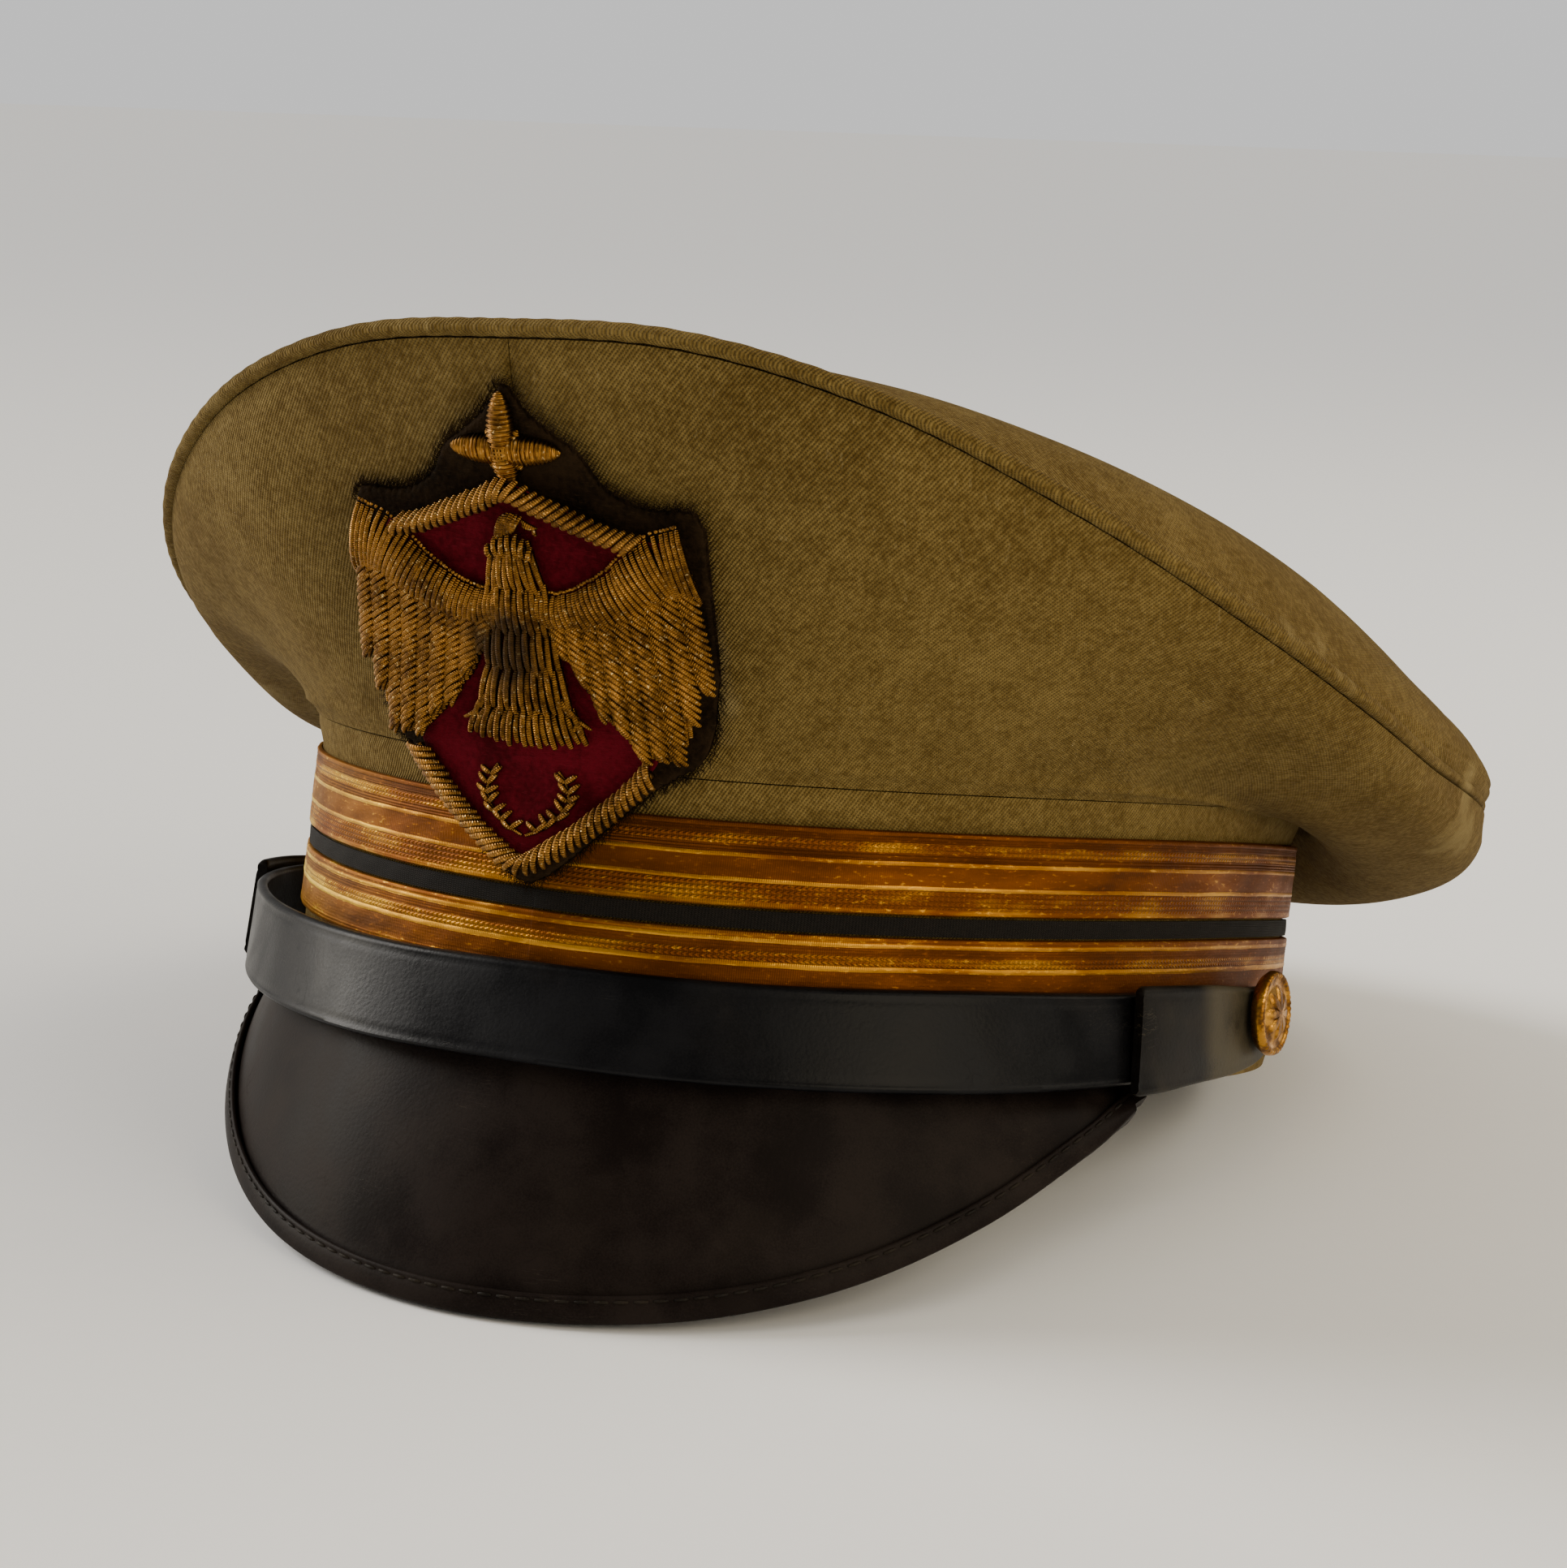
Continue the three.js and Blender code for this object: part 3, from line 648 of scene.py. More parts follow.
@dataclass(frozen=True)
class Graph:
    """Adds nodes to one tree and links them."""

    tree: bpy.types.NodeTree

    def put(self, socket: bpy.types.NodeSocket, value: object) -> None:
        """Links a signal to a socket, or sets the socket's value.

        Args:
            socket: Where it goes.
            value: A signal, a number, or three numbers.
        """
        if isinstance(value, Signal):
            self.tree.links.new(value.socket, socket)
        elif isinstance(value, tuple) and socket.type == "RGBA":
            socket.default_value = (*value, 1.0)
        else:
            socket.default_value = value

    def add(self, kind: str, *values: object, **settings: object) -> bpy.types.Node:
        """Adds a node.

        Args:
            kind: Its type, without the word ShaderNode.
            values: What its first inputs take.
            settings: Its properties.

        Returns:
            The node.
        """
        node = self.tree.nodes.new("ShaderNode" + kind)
        for name, value in settings.items():
            setattr(node, name, value)
        for socket, value in zip(node.inputs, values):
            self.put(socket, value)
        return node

    def math(self, operation: str, *values: object, clamp: bool = False) -> Signal:
        """Adds a Math node."""
        return Signal(self, self.add("Math", *values, operation=operation, use_clamp=clamp).outputs[0])

    def vector(self, operation: str, first: Signal, second: object) -> Signal:
        """Adds a Vector Math node."""
        node = self.add("VectorMath", first, second, operation=operation)
        return Signal(self, node.outputs["Value" if operation == "DISTANCE" else "Vector"])

    def mix(self, share: object, first: object, second: object, blend: str = "MIX") -> Signal:
        """Adds a colour Mix node.

        Args:
            share: How much of the second colour shows.
            first: The colour below.
            second: The colour above.
            blend: How the two are mixed.

        Returns:
            The mixed colour.
        """
        node = self.add("Mix", share, data_type="RGBA", blend_type=blend)
        self.put(node.inputs[6], first)
        self.put(node.inputs[7], second)
        return Signal(self, node.outputs[2])

    def coat(self, colour: Signal, *layers: tuple[Signal, Rgb]) -> Signal:
        """Lays colours over another.

        Args:
            colour: The colour below.
            layers: Masks with their colours, from the lowest up.

        Returns:
            What shows.
        """
        for mask, paint in layers:
            colour = self.mix(mask, colour, paint)
        return colour

    def span(self, value: Signal, low: float, high: float, start: float = 0, stop: float = 1) -> Signal:
        """Maps the values from low to high smoothly to those from start to stop."""
        node = self.add("MapRange", value, low, high, start, stop, interpolation_type="SMOOTHSTEP")
        return Signal(self, node.outputs[0])

    def noise(
        self, at: Signal, size: float, detail: float = 2, stretch: Rgb = (1, 1, 1), colour: bool = False
    ) -> Signal:
        """Adds a Noise node.

        Args:
            at: Point in millimetres.
            size: Size of its patches in millimetres.
            detail: Number of finer layers.
            stretch: Factors on the point.
            colour: Whether it gives three values.

        Returns:
            Values from 0 to 1.
        """
        node = self.add("TexNoise", self.vector("MULTIPLY", at, stretch))
        node.inputs["Scale"].default_value = 1 / size
        node.inputs["Detail"].default_value = detail
        return Signal(self, node.outputs[1 if colour else 0])

    def cells(self, at: Signal, size: float, feature: str = "F1") -> Signal:
        """Adds a Voronoi node that gives a distance.

        Args:
            at: Where it is read.
            size: Size of a cell in millimetres.
            feature: Its Blender feature.

        Returns:
            The distance.
        """
        node = self.add("TexVoronoi", at, feature=feature)
        node.inputs["Scale"].default_value = 1 / size
        return Signal(self, node.outputs["Distance"])

    def split(self, vector: Signal, kind: str = "XYZ") -> list[Signal]:
        """Gives the parts of a vector, or of a colour where kind is Color."""
        return [Signal(self, part) for part in self.add("Separate" + kind, vector).outputs]

    def wave(self, value: Signal, pitch: float, phase: object = 0.0) -> Signal:
        """Gives a sine of a length, from 0 to 1."""
        turns = self.math("MULTIPLY_ADD", value, 2 * math.pi / pitch, phase)
        return self.math("MULTIPLY_ADD", self.math("SINE", turns), 0.5, 0.5)

    def ramp(self, value: Signal, stops: Sequence[tuple[float, Rgb]], steps: bool = False) -> Signal:
        """Adds a Color Ramp node.

        Args:
            value: Where it is read, from 0 to 1.
            stops: Places with their colours.
            steps: Whether a colour holds up to the next stop.

        Returns:
            The colour there.
        """
        node = self.add("ValToRGB", value)
        node.color_ramp.interpolation = "CONSTANT" if steps else "LINEAR"
        elements = node.color_ramp.elements
        while len(elements) < len(stops):
            elements.new(0.5)
        for element, (at, colour) in zip(elements, stops):
            element.position = at
            element.color = (*colour, 1)
        return Signal(self, node.outputs[0])

    def group(self, tree: bpy.types.NodeTree, **values: object) -> Ports:
        """Adds a shared group.

        Args:
            tree: The group.
            values: What its inputs take.

        Returns:
            Its outputs.
        """
        node = self.add("Group", node_tree=tree)
        for name, value in values.items():
            self.put(node.inputs[name], value)
        return Ports(self, node)

    def give(self, **values: Signal) -> bpy.types.NodeTree:
        """Closes a shared group.

        Args:
            values: What its outputs give.

        Returns:
            The group.
        """
        result = self.tree.nodes.new("NodeGroupOutput")
        for name, value in values.items():
            self.put(result.inputs[name], value)
        return self.tree


def new_group(name: str, takes: dict[str, object], gives: Sequence[str]) -> tuple[Graph, Ports]:
    """Starts a shared group.

    Args:
        name: Name of the group.
        takes: Its inputs with their values, where None stands for a vector.
        gives: Its outputs, which are all numbers.

    Returns:
        Its graph and what it is given.
    """
    tree = bpy.data.node_groups.new(name, "ShaderNodeTree")
    for key, value in takes.items():
        kind = "NodeSocketVector" if value is None else "NodeSocketFloat"
        socket = tree.interface.new_socket(key, in_out="INPUT", socket_type=kind)
        if value is not None:
            socket.default_value = value
    for key in gives:
        tree.interface.new_socket(key, in_out="OUTPUT", socket_type="NodeSocketFloat")
    graph = Graph(tree)
    return graph, Ports(graph, tree.nodes.new("NodeGroupInput"))


@cache
def twill_group() -> bpy.types.NodeTree:
    """Makes steep diagonal ribs of twisted threads and a mask of painted shade in the grooves between them,
    from a place on the cloth in millimetres.

    Returns:
        The group.
    """
    graph, given = new_group("twill_weave", {"Place": None}, ("Height", "Gap"))
    u, v, _ = graph.split(given["Place"])
    wander = graph.noise(given["Place"], 2.2, 3)
    rib = graph.wave(u - v * 0.62, 0.62, wander * 3.0)
    thread = graph.wave(u * 0.5 + v, 0.46, wander * 5.0)
    ribbed = rib * 0.75 + thread * 0.25
    fuzz = graph.noise(given["Place"], 0.22, 1)
    # The grooves' mask marks painted shade between the ribs.
    return graph.give(Height=ribbed + fuzz * 0.5, Gap=graph.span(ribbed, 0.45, 0.05))


@cache
def cloth_tone_group() -> bpy.types.NodeTree:
    """Makes the uneven tone of old cloth and its pale stains, from a point in millimetres.

    Returns:
        The group.
    """
    graph, given = new_group("cloth_tone", {"Point": None}, ("Tone", "Stain", "Lint"))
    point = given["Point"]
    broad, fine, speck = graph.noise(point, 42), graph.noise(point, 5, 4), graph.noise(point, 0.9, 3)
    blot = graph.noise(point, 13, 3) * graph.span(graph.noise(point, 60, 1), 0.48, 0.62)
    return graph.give(
        Tone=graph.span(broad * 0.25 + fine * 0.25 + speck * 0.5, 0.3, 0.72),
        Stain=graph.span(blot, 0.5, 0.7),
        Lint=graph.span(graph.noise(point, 1.1, 3, (1.0, 1.0, 0.35)), 0.66, 0.74),
    )


@cache
def leather_group() -> bpy.types.NodeTree:
    """Makes pebbled grain, fine cracks and scratches, from a point in millimetres.

    Returns:
        The group.
    """
    graph, given = new_group("leather_grain", {"Point": None}, ("Height", "Tone", "Crack", "Scratch"))
    point = given["Point"]
    shifted = graph.vector("ADD", point, graph.noise(point, 1.25, colour=True))
    pebble = graph.cells(shifted, 0.75)
    pore, broad = graph.noise(point, 0.3), graph.noise(point, 12, 3)
    split = graph.cells(shifted, 3.4, "DISTANCE_TO_EDGE")
    crack = graph.span(split, 0.04, 0.0) * graph.span(broad, 0.6, 0.74)
    hair = graph.math("ABSOLUTE", graph.noise(point, 2.4, 4, (0.16, 0.5, 3.2)) - 0.5)
    scratch = graph.span(hair, 0.008, 0.0) * graph.span(graph.noise(point, 17), 0.56, 0.66)
    height = pore * 0.35 - pebble * 0.65 - crack * 0.25 - scratch * 0.4
    return graph.give(Height=height, Tone=pore * 0.3 + broad * 0.7, Crack=crack, Scratch=scratch)


@cache
def lace_group() -> bpy.types.NodeTree:
    """Makes woven metal lace: lengthwise ridges, rows of beads and fine wefts, with a mask of painted shade
    in the hollows between them and a mask of painted glints.

    Returns:
        The group.
    """
    takes = {"Along": 0.0, "Across": 0.0, "Beads": 0.0, "Ridges": 0.0}
    graph, given = new_group("lace_weave", takes, ("Height", "Hollow", "Spark"))
    along, across, beads, ridges = (given[name] for name in takes)
    place = Signal(graph, graph.add("CombineXYZ", along, across).outputs[0])
    waver = graph.noise(place, 9, 2, (0.4, 1, 1))
    ridge = graph.wave(across, LACE_RIDGE, waver * 2.5)
    row = graph.wave(across, 0.78, waver * 1.5)
    bead = graph.wave(along, 0.92, row * 3.1)
    weft = graph.wave(along, 0.34, waver * 9.0)
    fleck = graph.noise(place, 0.5, 2, (0.35, 1, 1))
    height = ridge * ridges * 0.55 + bead * row * beads + weft * 0.14 + fleck * 0.35
    # Painted shade: masks of the hollows between bead rows and between ridges.
    low = graph.span(row, 0.35, 0.02) * beads
    between = graph.span(ridge, 0.4, 0.0) * ridges * 0.7
    hollow = graph.math("MAXIMUM", low, between)
    # The last mask is painted glints on flecks of the metal.
    return graph.give(Height=height, Hollow=hollow, Spark=graph.span(fleck, 0.55, 0.75))


@cache
def thread_group() -> bpy.types.NodeTree:
    """Makes the close coils of a metal thread, from the place on its tube in millimetres. Its hollow mask is
    painted shade between the coils and on the side of the tube turned to the badge.

    Returns:
        The group.
    """
    graph, given = new_group("thread_coil", {"Place": None, "Point": None}, ("Height", "Hollow", "Tone"))
    u, v, _ = graph.split(given["Place"])
    coil = graph.wave(u * (COIL_PITCH / THREAD_ROUND) + v, COIL_PITCH)
    # Painted shade on the side of each tube turned to the badge.
    back = graph.span(graph.wave(u, THREAD_ROUND), 0.93, 0.62)
    wear, broad = graph.noise(given["Point"], 0.9), graph.noise(given["Point"], 9)
    hollow = graph.math("MAXIMUM", graph.span(coil, 0.4, 0.0) * 0.4, back)
    return graph.give(Height=wear * 0.4 + coil, Hollow=hollow, Tone=wear * 0.5 + broad * 0.5)


@cache
def tarnish_group() -> bpy.types.NodeTree:
    """Makes a tarnished patch, from a point in millimetres and how far it is from the patch.

    Returns:
        The group.
    """
    graph, given = new_group("tarnish", {"Point": None, "Away": 0.0, "Reach": 6.0}, ("Mask",))
    edge = graph.noise(given["Point"], 3.5, 4) * 7.0 + given["Away"] - 3.5
    low = given["Reach"] * 0.45
    return graph.give(Mask=graph.math("SUBTRACT", 1.0, (edge - low) / low, clamp=True))


@cache
def felt_group() -> bpy.types.NodeTree:
    """Makes the matted fibres of felt, from a point in millimetres.

    Returns:
        The group.
    """
    graph, given = new_group("felt_nap", {"Point": None}, ("Height", "Tone", "Fibre"))
    point = given["Point"]
    mat = graph.noise(point, 0.9, 5)
    strand = graph.noise(point, 0.5, 3, (0.3, 1, 1.6))
    tone = graph.noise(point, 9, 3) * 0.6 + mat * 0.4
    return graph.give(Height=strand * 0.6 + mat, Tone=tone, Fibre=graph.span(strand, 0.6, 0.72))


# --- Finishes ---


@dataclass(frozen=True)
class Surface:
    """A material under way.

    Attributes:
        material: The material.
        graph: Its graph.
        point: The point on the cap in millimetres.
        place: The place along and across the piece in millimetres.
    """

    material: bpy.types.Material
    graph: Graph
    point: Signal
    place: Signal

    def feed(self, **values: object) -> None:
        """Feeds the shader's sockets.

        Args:
            values: What they take, by name with _ for a space.
        """
        inputs = self.graph.tree.nodes["Principled BSDF"].inputs
        for name, value in values.items():
            self.graph.put(inputs[name.replace("_", " ")], value)

    def close(
        self, colour: Signal, rough: Signal, height: Signal, depth: float, gloss: float, metal: object = 0.0
    ) -> bpy.types.Material:
        """Feeds the shader.

        Args:
            colour: Colour of the surface.
            rough: Its roughness.
            height: Its relief, from 0 to about 1.
            depth: Depth of that relief in millimetres.
            gloss: How strongly it mirrors where it is no metal.
            metal: How far it is metal.

        Returns:
            The material.
        """
        bump = self.graph.add("Bump")
        self.graph.put(bump.inputs["Distance"], depth / MM)
        self.graph.put(bump.inputs["Height"], height)
        self.feed(Base_Color=colour, Roughness=rough, Metallic=metal, Specular_IOR_Level=gloss)
        self.feed(Normal=Signal(self.graph, bump.outputs[0]))
        return self.material


@dataclass(frozen=True)
class Finish:
    """What every finish has: a name and a shader of its own."""

    name: str

    def start(self) -> Surface:
        """Starts the material.

        Returns:
            The material under way.
        """
        material = bpy.data.materials.new(self.name)
        material.use_nodes = True
        graph = Graph(material.node_tree)
        point = graph.vector("MULTIPLY", Ports(graph, graph.add("TexCoord"))["Object"], (MM, MM, MM))
        place = Signal(graph, graph.add("UVMap", uv_map=PLACE).outputs[0])
        return Surface(material, graph, point, place)


@dataclass(frozen=True)
class Twill(Finish):
    """Khaki wool twill, with painted shade in the grooves between its ribs."""

    dark: Rgb = (0.09, 0.0525, 0.0098)
    light: Rgb = (0.226, 0.154, 0.043)
    stain: Rgb = (0.29, 0.218, 0.088)
    gap: Rgb = (0.045, 0.026, 0.005)

    @cache
    def build(self) -> bpy.types.Material:
        """Makes the material.

        Returns:
            The material.
        """
        on = self.start()
        weave = on.graph.group(twill_group(), Place=on.place)
        cloth = on.graph.group(cloth_tone_group(), Point=on.point)
        colour = on.graph.coat(
            on.graph.mix(cloth["Tone"], self.dark, self.light),
            # Painted shade: the grooves between the ribs are darkened.
            (weave["Gap"] * 0.75, self.gap),
            (cloth["Stain"] * 0.45, self.stain),
            (cloth["Lint"] * 0.3, self.stain),
        )
        rough = on.graph.span(cloth["Tone"], 0.0, 1.0, 0.96, 0.82)
        return on.close(colour, rough, weave["Height"], 0.24, 0.12)


@dataclass(frozen=True)
class Stripe:
    """One stripe of a woven lace.

    Attributes:
        wide: Its width.
        tone: 0 for dark, 1 for bright.
        beads: How strongly it is beaded.
        ridges: How strongly it is ridged.
        proud: How far it stands out.
    """

    wide: float
    tone: float
    beads: float
    ridges: float
    proud: float


class Weave(Enum):
    """The stripes of each lace, from its upper edge down."""

    UPPER = (
        Stripe(0.8, 0.35, 0.0, 0.3, 0.10),
        Stripe(1.0, 0.15, 0.0, 1.0, 0.00),
        Stripe(1.5, 0.60, 1.0, 0.0, 0.05),
        Stripe(1.3, 0.28, 0.0, 0.8, 0.00),
        Stripe(0.6, 0.74, 0.0, 0.0, 0.07),
        Stripe(3.1, 0.34, 0.0, 0.0, 0.02),
        Stripe(0.6, 0.82, 0.0, 0.0, 0.09),
        Stripe(2.9, 0.50, 1.0, 0.0, 0.05),
        Stripe(1.0, 0.60, 0.0, 0.3, 0.05),
    )
    LOWER = (
        Stripe(1.0, 0.50, 0.0, 0.3, 0.06),
        Stripe(0.6, 0.80, 0.0, 0.0, 0.08),
        Stripe(1.3, 0.28, 0.0, 0.8, 0.00),
        Stripe(1.6, 0.60, 1.0, 0.0, 0.05),
        Stripe(0.8, 0.84, 0.0, 0.0, 0.09),
        Stripe(2.7, 0.28, 0.0, 0.2, 0.02),
        Stripe(1.5, 0.40, 0.0, 0.4, 0.06),
    )


@dataclass(frozen=True)
class Lace(Finish):
    """Woven gold lace, with the stripes of its weave, painted shade in its hollows, painted glints, and
    painted light that makes it lighter and yellower in patches towards the wearer's right, where the key
    light falls.
    """

    weave: Weave = Weave.UPPER
    top: float = UPPER_LACE[1]
    dark: Rgb = (0.075, 0.02, 0.0007)
    plain: Rgb = (0.17, 0.047, 0.0012)
    bright_and_glint: Rgb = (0.56, 0.27, 0.022)
    painted_light_tint: Rgb = (1.65, 2.5, 1.3)
    hollow: Rgb = (0.035, 0.01, 0.001)

    @cache
    def build(self) -> bpy.types.Material:
        """Makes the material.

        Returns:
            The material.
        """
        on = self.start()
        graph = on.graph
        along, up, _ = graph.split(on.place)
        waver = graph.noise(on.place, 18, 2, (1, 0, 0)) * 0.5 - 0.25
        down = graph.math("SUBTRACT", self.top, up + waver)
        total = sum(stripe.wide for stripe in self.weave.value)
        stops, done = [], 0.0
        for stripe in self.weave.value:
            stops.append((done / total, (stripe.tone, stripe.beads, stripe.ridges)))
            done += stripe.wide
        tone, beads, ridges = graph.split(graph.ramp(down / total, stops, steps=True), "Color")
        weave = graph.group(lace_group(), Along=along, Across=up, Beads=beads, Ridges=ridges)
        worn = graph.noise(on.point, 16, 3)
        rubbed = graph.noise(on.place, 3.2, 4, (0.22, 1.0, 1.0))
        # Painted glints: flecks of the lace are lifted towards its brightest colour.
        tone = tone + (worn * 0.5 - 0.28) + (rubbed * 1.1 - 0.6) + weave["Spark"] * 0.35
        colour = graph.ramp(tone, ((0.0, self.dark), (0.45, self.plain), (1.0, self.bright_and_glint)))
        # Painted shade darkens the hollows between beads and ridges.
        colour = graph.mix(weave["Hollow"] * 0.55, colour, self.hollow)
        # Painted light: towards the wearer's right, where the key light falls, the lace is made lighter and
        # yellower in patches.
        painted_light_share = graph.span(graph.split(on.point)[0], -10.0, -75.0) * graph.span(worn, 0.25, 0.6)
        colour = graph.mix(painted_light_share, colour, graph.mix(1.0, colour, self.painted_light_tint, "MULTIPLY"))
        rough, metal = graph.span(tone, 0.1, 1.0, 0.6, 0.4), graph.span(tone, 0.0, 0.9, 0.8, 0.95)
        return on.close(colour, rough, weave["Height"], 0.14, 0.1, metal)


@dataclass(frozen=True)
class DarkStripe(Finish):
    """The dark silk between the laces."""

    dark: Rgb = (0.0025, 0.002, 0.0013)
    light: Rgb = (0.009, 0.0065, 0.004)

    @cache
    def build(self) -> bpy.types.Material:
        """Makes the material.

        Returns:
            The material.
        """
        on = self.start()
        along, up, _ = on.graph.split(on.place)
        warp = on.graph.wave(up, 0.3)
        weft = on.graph.wave(along, 0.5, warp * math.pi)
        cloth = on.graph.group(cloth_tone_group(), Point=on.point)
        colour = on.graph.mix(weft * 0.35 + cloth["Tone"] * 0.65, self.dark, self.light)
        return on.close(colour, on.graph.span(weft, 0.0, 1.0, 0.85, 0.7), warp + weft, 0.06, 0.15)


@dataclass(frozen=True)
class Leather(Finish):
    """Dyed and polished leather, paler where it is rubbed."""

    dark: Rgb = (0.0015, 0.0015, 0.002)
    light: Rgb = (0.006, 0.006, 0.007)
    rubbed: Rgb = (0.03, 0.026, 0.022)
    smooth: float = 0.3
    dull: float = 0.46
    depth: float = 0.03
    shine: float = 0.1
    worn_along: tuple[float, float] | None = None

    @cache
    def build(self) -> bpy.types.Material:
        """Makes the material.

        Returns:
            The material.
        """
        on = self.start()
        graph = on.graph
        grain = graph.group(leather_group(), Point=on.point)
        layers = [
            (grain["Scratch"] * 0.6, self.rubbed),
            (grain["Crack"] * 0.5, self.dark),
            (graph.span(graph.noise(on.point, 22, 3), 0.55, 0.75) * 0.22, self.rubbed),
        ]
        if self.worn_along:
            worn = graph.span(graph.split(on.place)[0], *self.worn_along)
            layers.append((worn * graph.span(grain["Tone"], 0.2, 0.55) * 0.58, self.rubbed))
        colour = graph.mix(graph.span(grain["Tone"], 0.35, 0.65), self.dark, self.light)
        rough = graph.span(grain["Tone"], 0.3, 0.7, self.smooth, self.dull) + grain["Crack"] * 0.2
        return on.close(graph.coat(colour, *layers), rough, grain["Height"], self.depth, self.shine)


@dataclass(frozen=True)
class GoldThread(Finish):
    """Coiled gold wire with painted glints and painted shade in its coils and on the side turned to the
    badge, dulled and in one tarnished patch nearly blackened.
    """

    dark: Rgb = (0.085, 0.034, 0.005)
    light: Rgb = (0.44, 0.205, 0.034)
    bright_and_glint: Rgb = (0.95, 0.7, 0.28)
    tarnish_and_shade: Rgb = (0.008, 0.0045, 0.0015)
    patch: tuple[float, float, float] = (-2.5, -110.0, 57.0)
    reach: float = 9.0
    coil: float = 0.12

    @cache
    def build(self) -> bpy.types.Material:
        """Makes the material.

        Returns:
            The material.
        """
        on = self.start()
        graph = on.graph
        thread = graph.group(thread_group(), Place=on.place, Point=on.point)
        patch = POSE.place(np.array(self.patch)) * MM
        away = graph.vector("DISTANCE", on.point, tuple(patch.tolist()))
        dull = graph.group(tarnish_group(), Point=on.point, Away=away, Reach=self.reach)["Mask"]
        colour = graph.coat(
            graph.mix(graph.span(thread["Tone"], 0.3, 0.68), self.dark, self.light),
            # Painted highlights: rare flecks of the thread get a glint colour.
            (graph.span(graph.noise(on.point, 0.55), 0.62, 0.72) * 0.6, self.bright_and_glint),
            # Painted shade in the coils' hollows and on the tubes' backs; below it the real tarnished patch.
            (thread["Hollow"] * 0.92, self.tarnish_and_shade),
            (dull * 0.85, self.tarnish_and_shade),
        )
        rough = graph.span(thread["Tone"], 0.3, 0.7, 0.46, 0.3) + dull * 0.25
        metal = graph.span(dull, 0.0, 1.0, 0.9, 0.4)
        return on.close(colour, rough, thread["Height"], self.coil, 0.15, metal)


@dataclass(frozen=True)
class Felt(Finish):
    """Matted wool felt."""

    dark: Rgb = (0.006, 0.0035, 0.0014)
    light: Rgb = (0.02, 0.011, 0.0045)
    fibre: Rgb = (0.04, 0.025, 0.011)

    @cache
    def build(self) -> bpy.types.Material:
        """Makes the material.

        Returns:
            The material.
        """
        on = self.start()
        nap = on.graph.group(felt_group(), Point=on.point)
        colour = on.graph.mix(on.graph.span(nap["Tone"], 0.35, 0.65), self.dark, self.light)
        colour = on.graph.mix(nap["Fibre"] * 0.35, colour, self.fibre)
        return on.close(colour, on.graph.span(nap["Tone"], 0.3, 0.7, 1.0, 0.88), nap["Height"], 0.3, 0.05)


@dataclass(frozen=True)
class Gilt(Finish):
    """Worn gilding on brass."""

    gold: Rgb = (0.55, 0.26, 0.035)
    worn: Rgb = (0.24, 0.1, 0.016)
    dirt: Rgb = (0.04, 0.02, 0.006)

    @cache
    def build(self) -> bpy.types.Material:
        """Makes the material.

        Returns:
            The material.
        """
        on = self.start()
        broad, pit = on.graph.noise(on.point, 2.6, 5), on.graph.noise(on.point, 0.5, 3)
        stain = on.graph.span(broad * pit, 0.24, 0.36)
        colour = on.graph.mix(on.graph.span(broad, 0.38, 0.62), self.gold, self.worn)
        colour = on.graph.mix(stain * 0.6, colour, self.dirt)
        rough, metal = on.graph.span(broad, 0.35, 0.7, 0.26, 0.5), on.graph.span(stain, 0.0, 1.0, 1.0, 0.8)
        return on.close(colour, rough, pit, 0.05, 0.2, metal)


@dataclass(frozen=True)
class Paper(Finish):
    """The studio's pale floor."""

    low: float = 0.922
    high: float = 0.938

    @cache
    def build(self) -> bpy.types.Material:
        """Makes the material.

        Returns:
            The material.
        """
        on = self.start()
        colour = on.graph.mix(on.graph.noise(on.point, 4, 3), (self.low,) * 3, (self.high,) * 3)
        on.feed(Base_Color=colour, Roughness=0.95)
        return on.material


TWILL = Twill("khaki_twill")
UPPER_GOLD = Lace("gold_lace_upper_weave")
LOWER_GOLD = Lace("gold_lace_lower_weave", Weave.LOWER, LOWER_LACE[1])
STRIPE_SILK = DarkStripe("dark_stripe_weave")
STRAP_LEATHER = Leather("black_leather_grain")
TAB_LEATHER = Leather(
    name="worn_leather_grain",
    dark=(0.004, 0.0035, 0.003),
    light=(0.014, 0.012, 0.01),
    rubbed=(0.09, 0.075, 0.045),
    smooth=0.38,
    dull=0.55,
    worn_along=(17, 24),
)
VISOR_LEATHER = Leather(
    name="brown_leather_grain",
    dark=(0.007, 0.0048, 0.0042),
    light=(0.017, 0.0125, 0.0105),
    rubbed=(0.034, 0.026, 0.02),
    smooth=0.38,
    dull=0.5,
    depth=0.025,
    shine=0.035,
)
SEWING = Leather(
    "waxed_thread", (0.004, 0.003, 0.002), (0.02, 0.015, 0.01), (0.05, 0.04, 0.03), 0.5, 0.7, 0.1
)
WIRE = GoldThread("gold_wire_coil")
ROPE_WIRE = GoldThread("gold_rope_twist", (0.09, 0.038, 0.007), (0.42, 0.2, 0.038), reach=0.5)
BACK_FELT = Felt("brown_felt_nap")
FIELD_FELT = Felt("crimson_felt_nap", (0.04, 0.001, 0.003), (0.1, 0.003, 0.009), (0.14, 0.01, 0.018))
WORN_GILT = Gilt("worn_gilt")
PAPER = Paper("studio_paper")


def dress(piece: bpy.types.Object, finish: Finish, slot: str, *nodes: str) -> None:
    """Gives a piece its finish and hides the solids that it stands for.

    Args:
        piece: The object.
        finish: Its finish.
        slot: Not used.
        nodes: The solids that it replaces.
    """
    piece.data.materials.clear()
    piece.data.materials.append(finish.build())
    if nodes:
        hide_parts(*nodes)
    LOG.info("%s: %d faces", piece.name, len(piece.data.polygons))


# --- Pieces ---


class Side(Enum):
    """A side of the cap, as its wearer has it."""

    LEFT = 1
    RIGHT = -1

    @property
    def word(self) -> str:
        """Gives the side's word in names."""
        return self.name.lower()


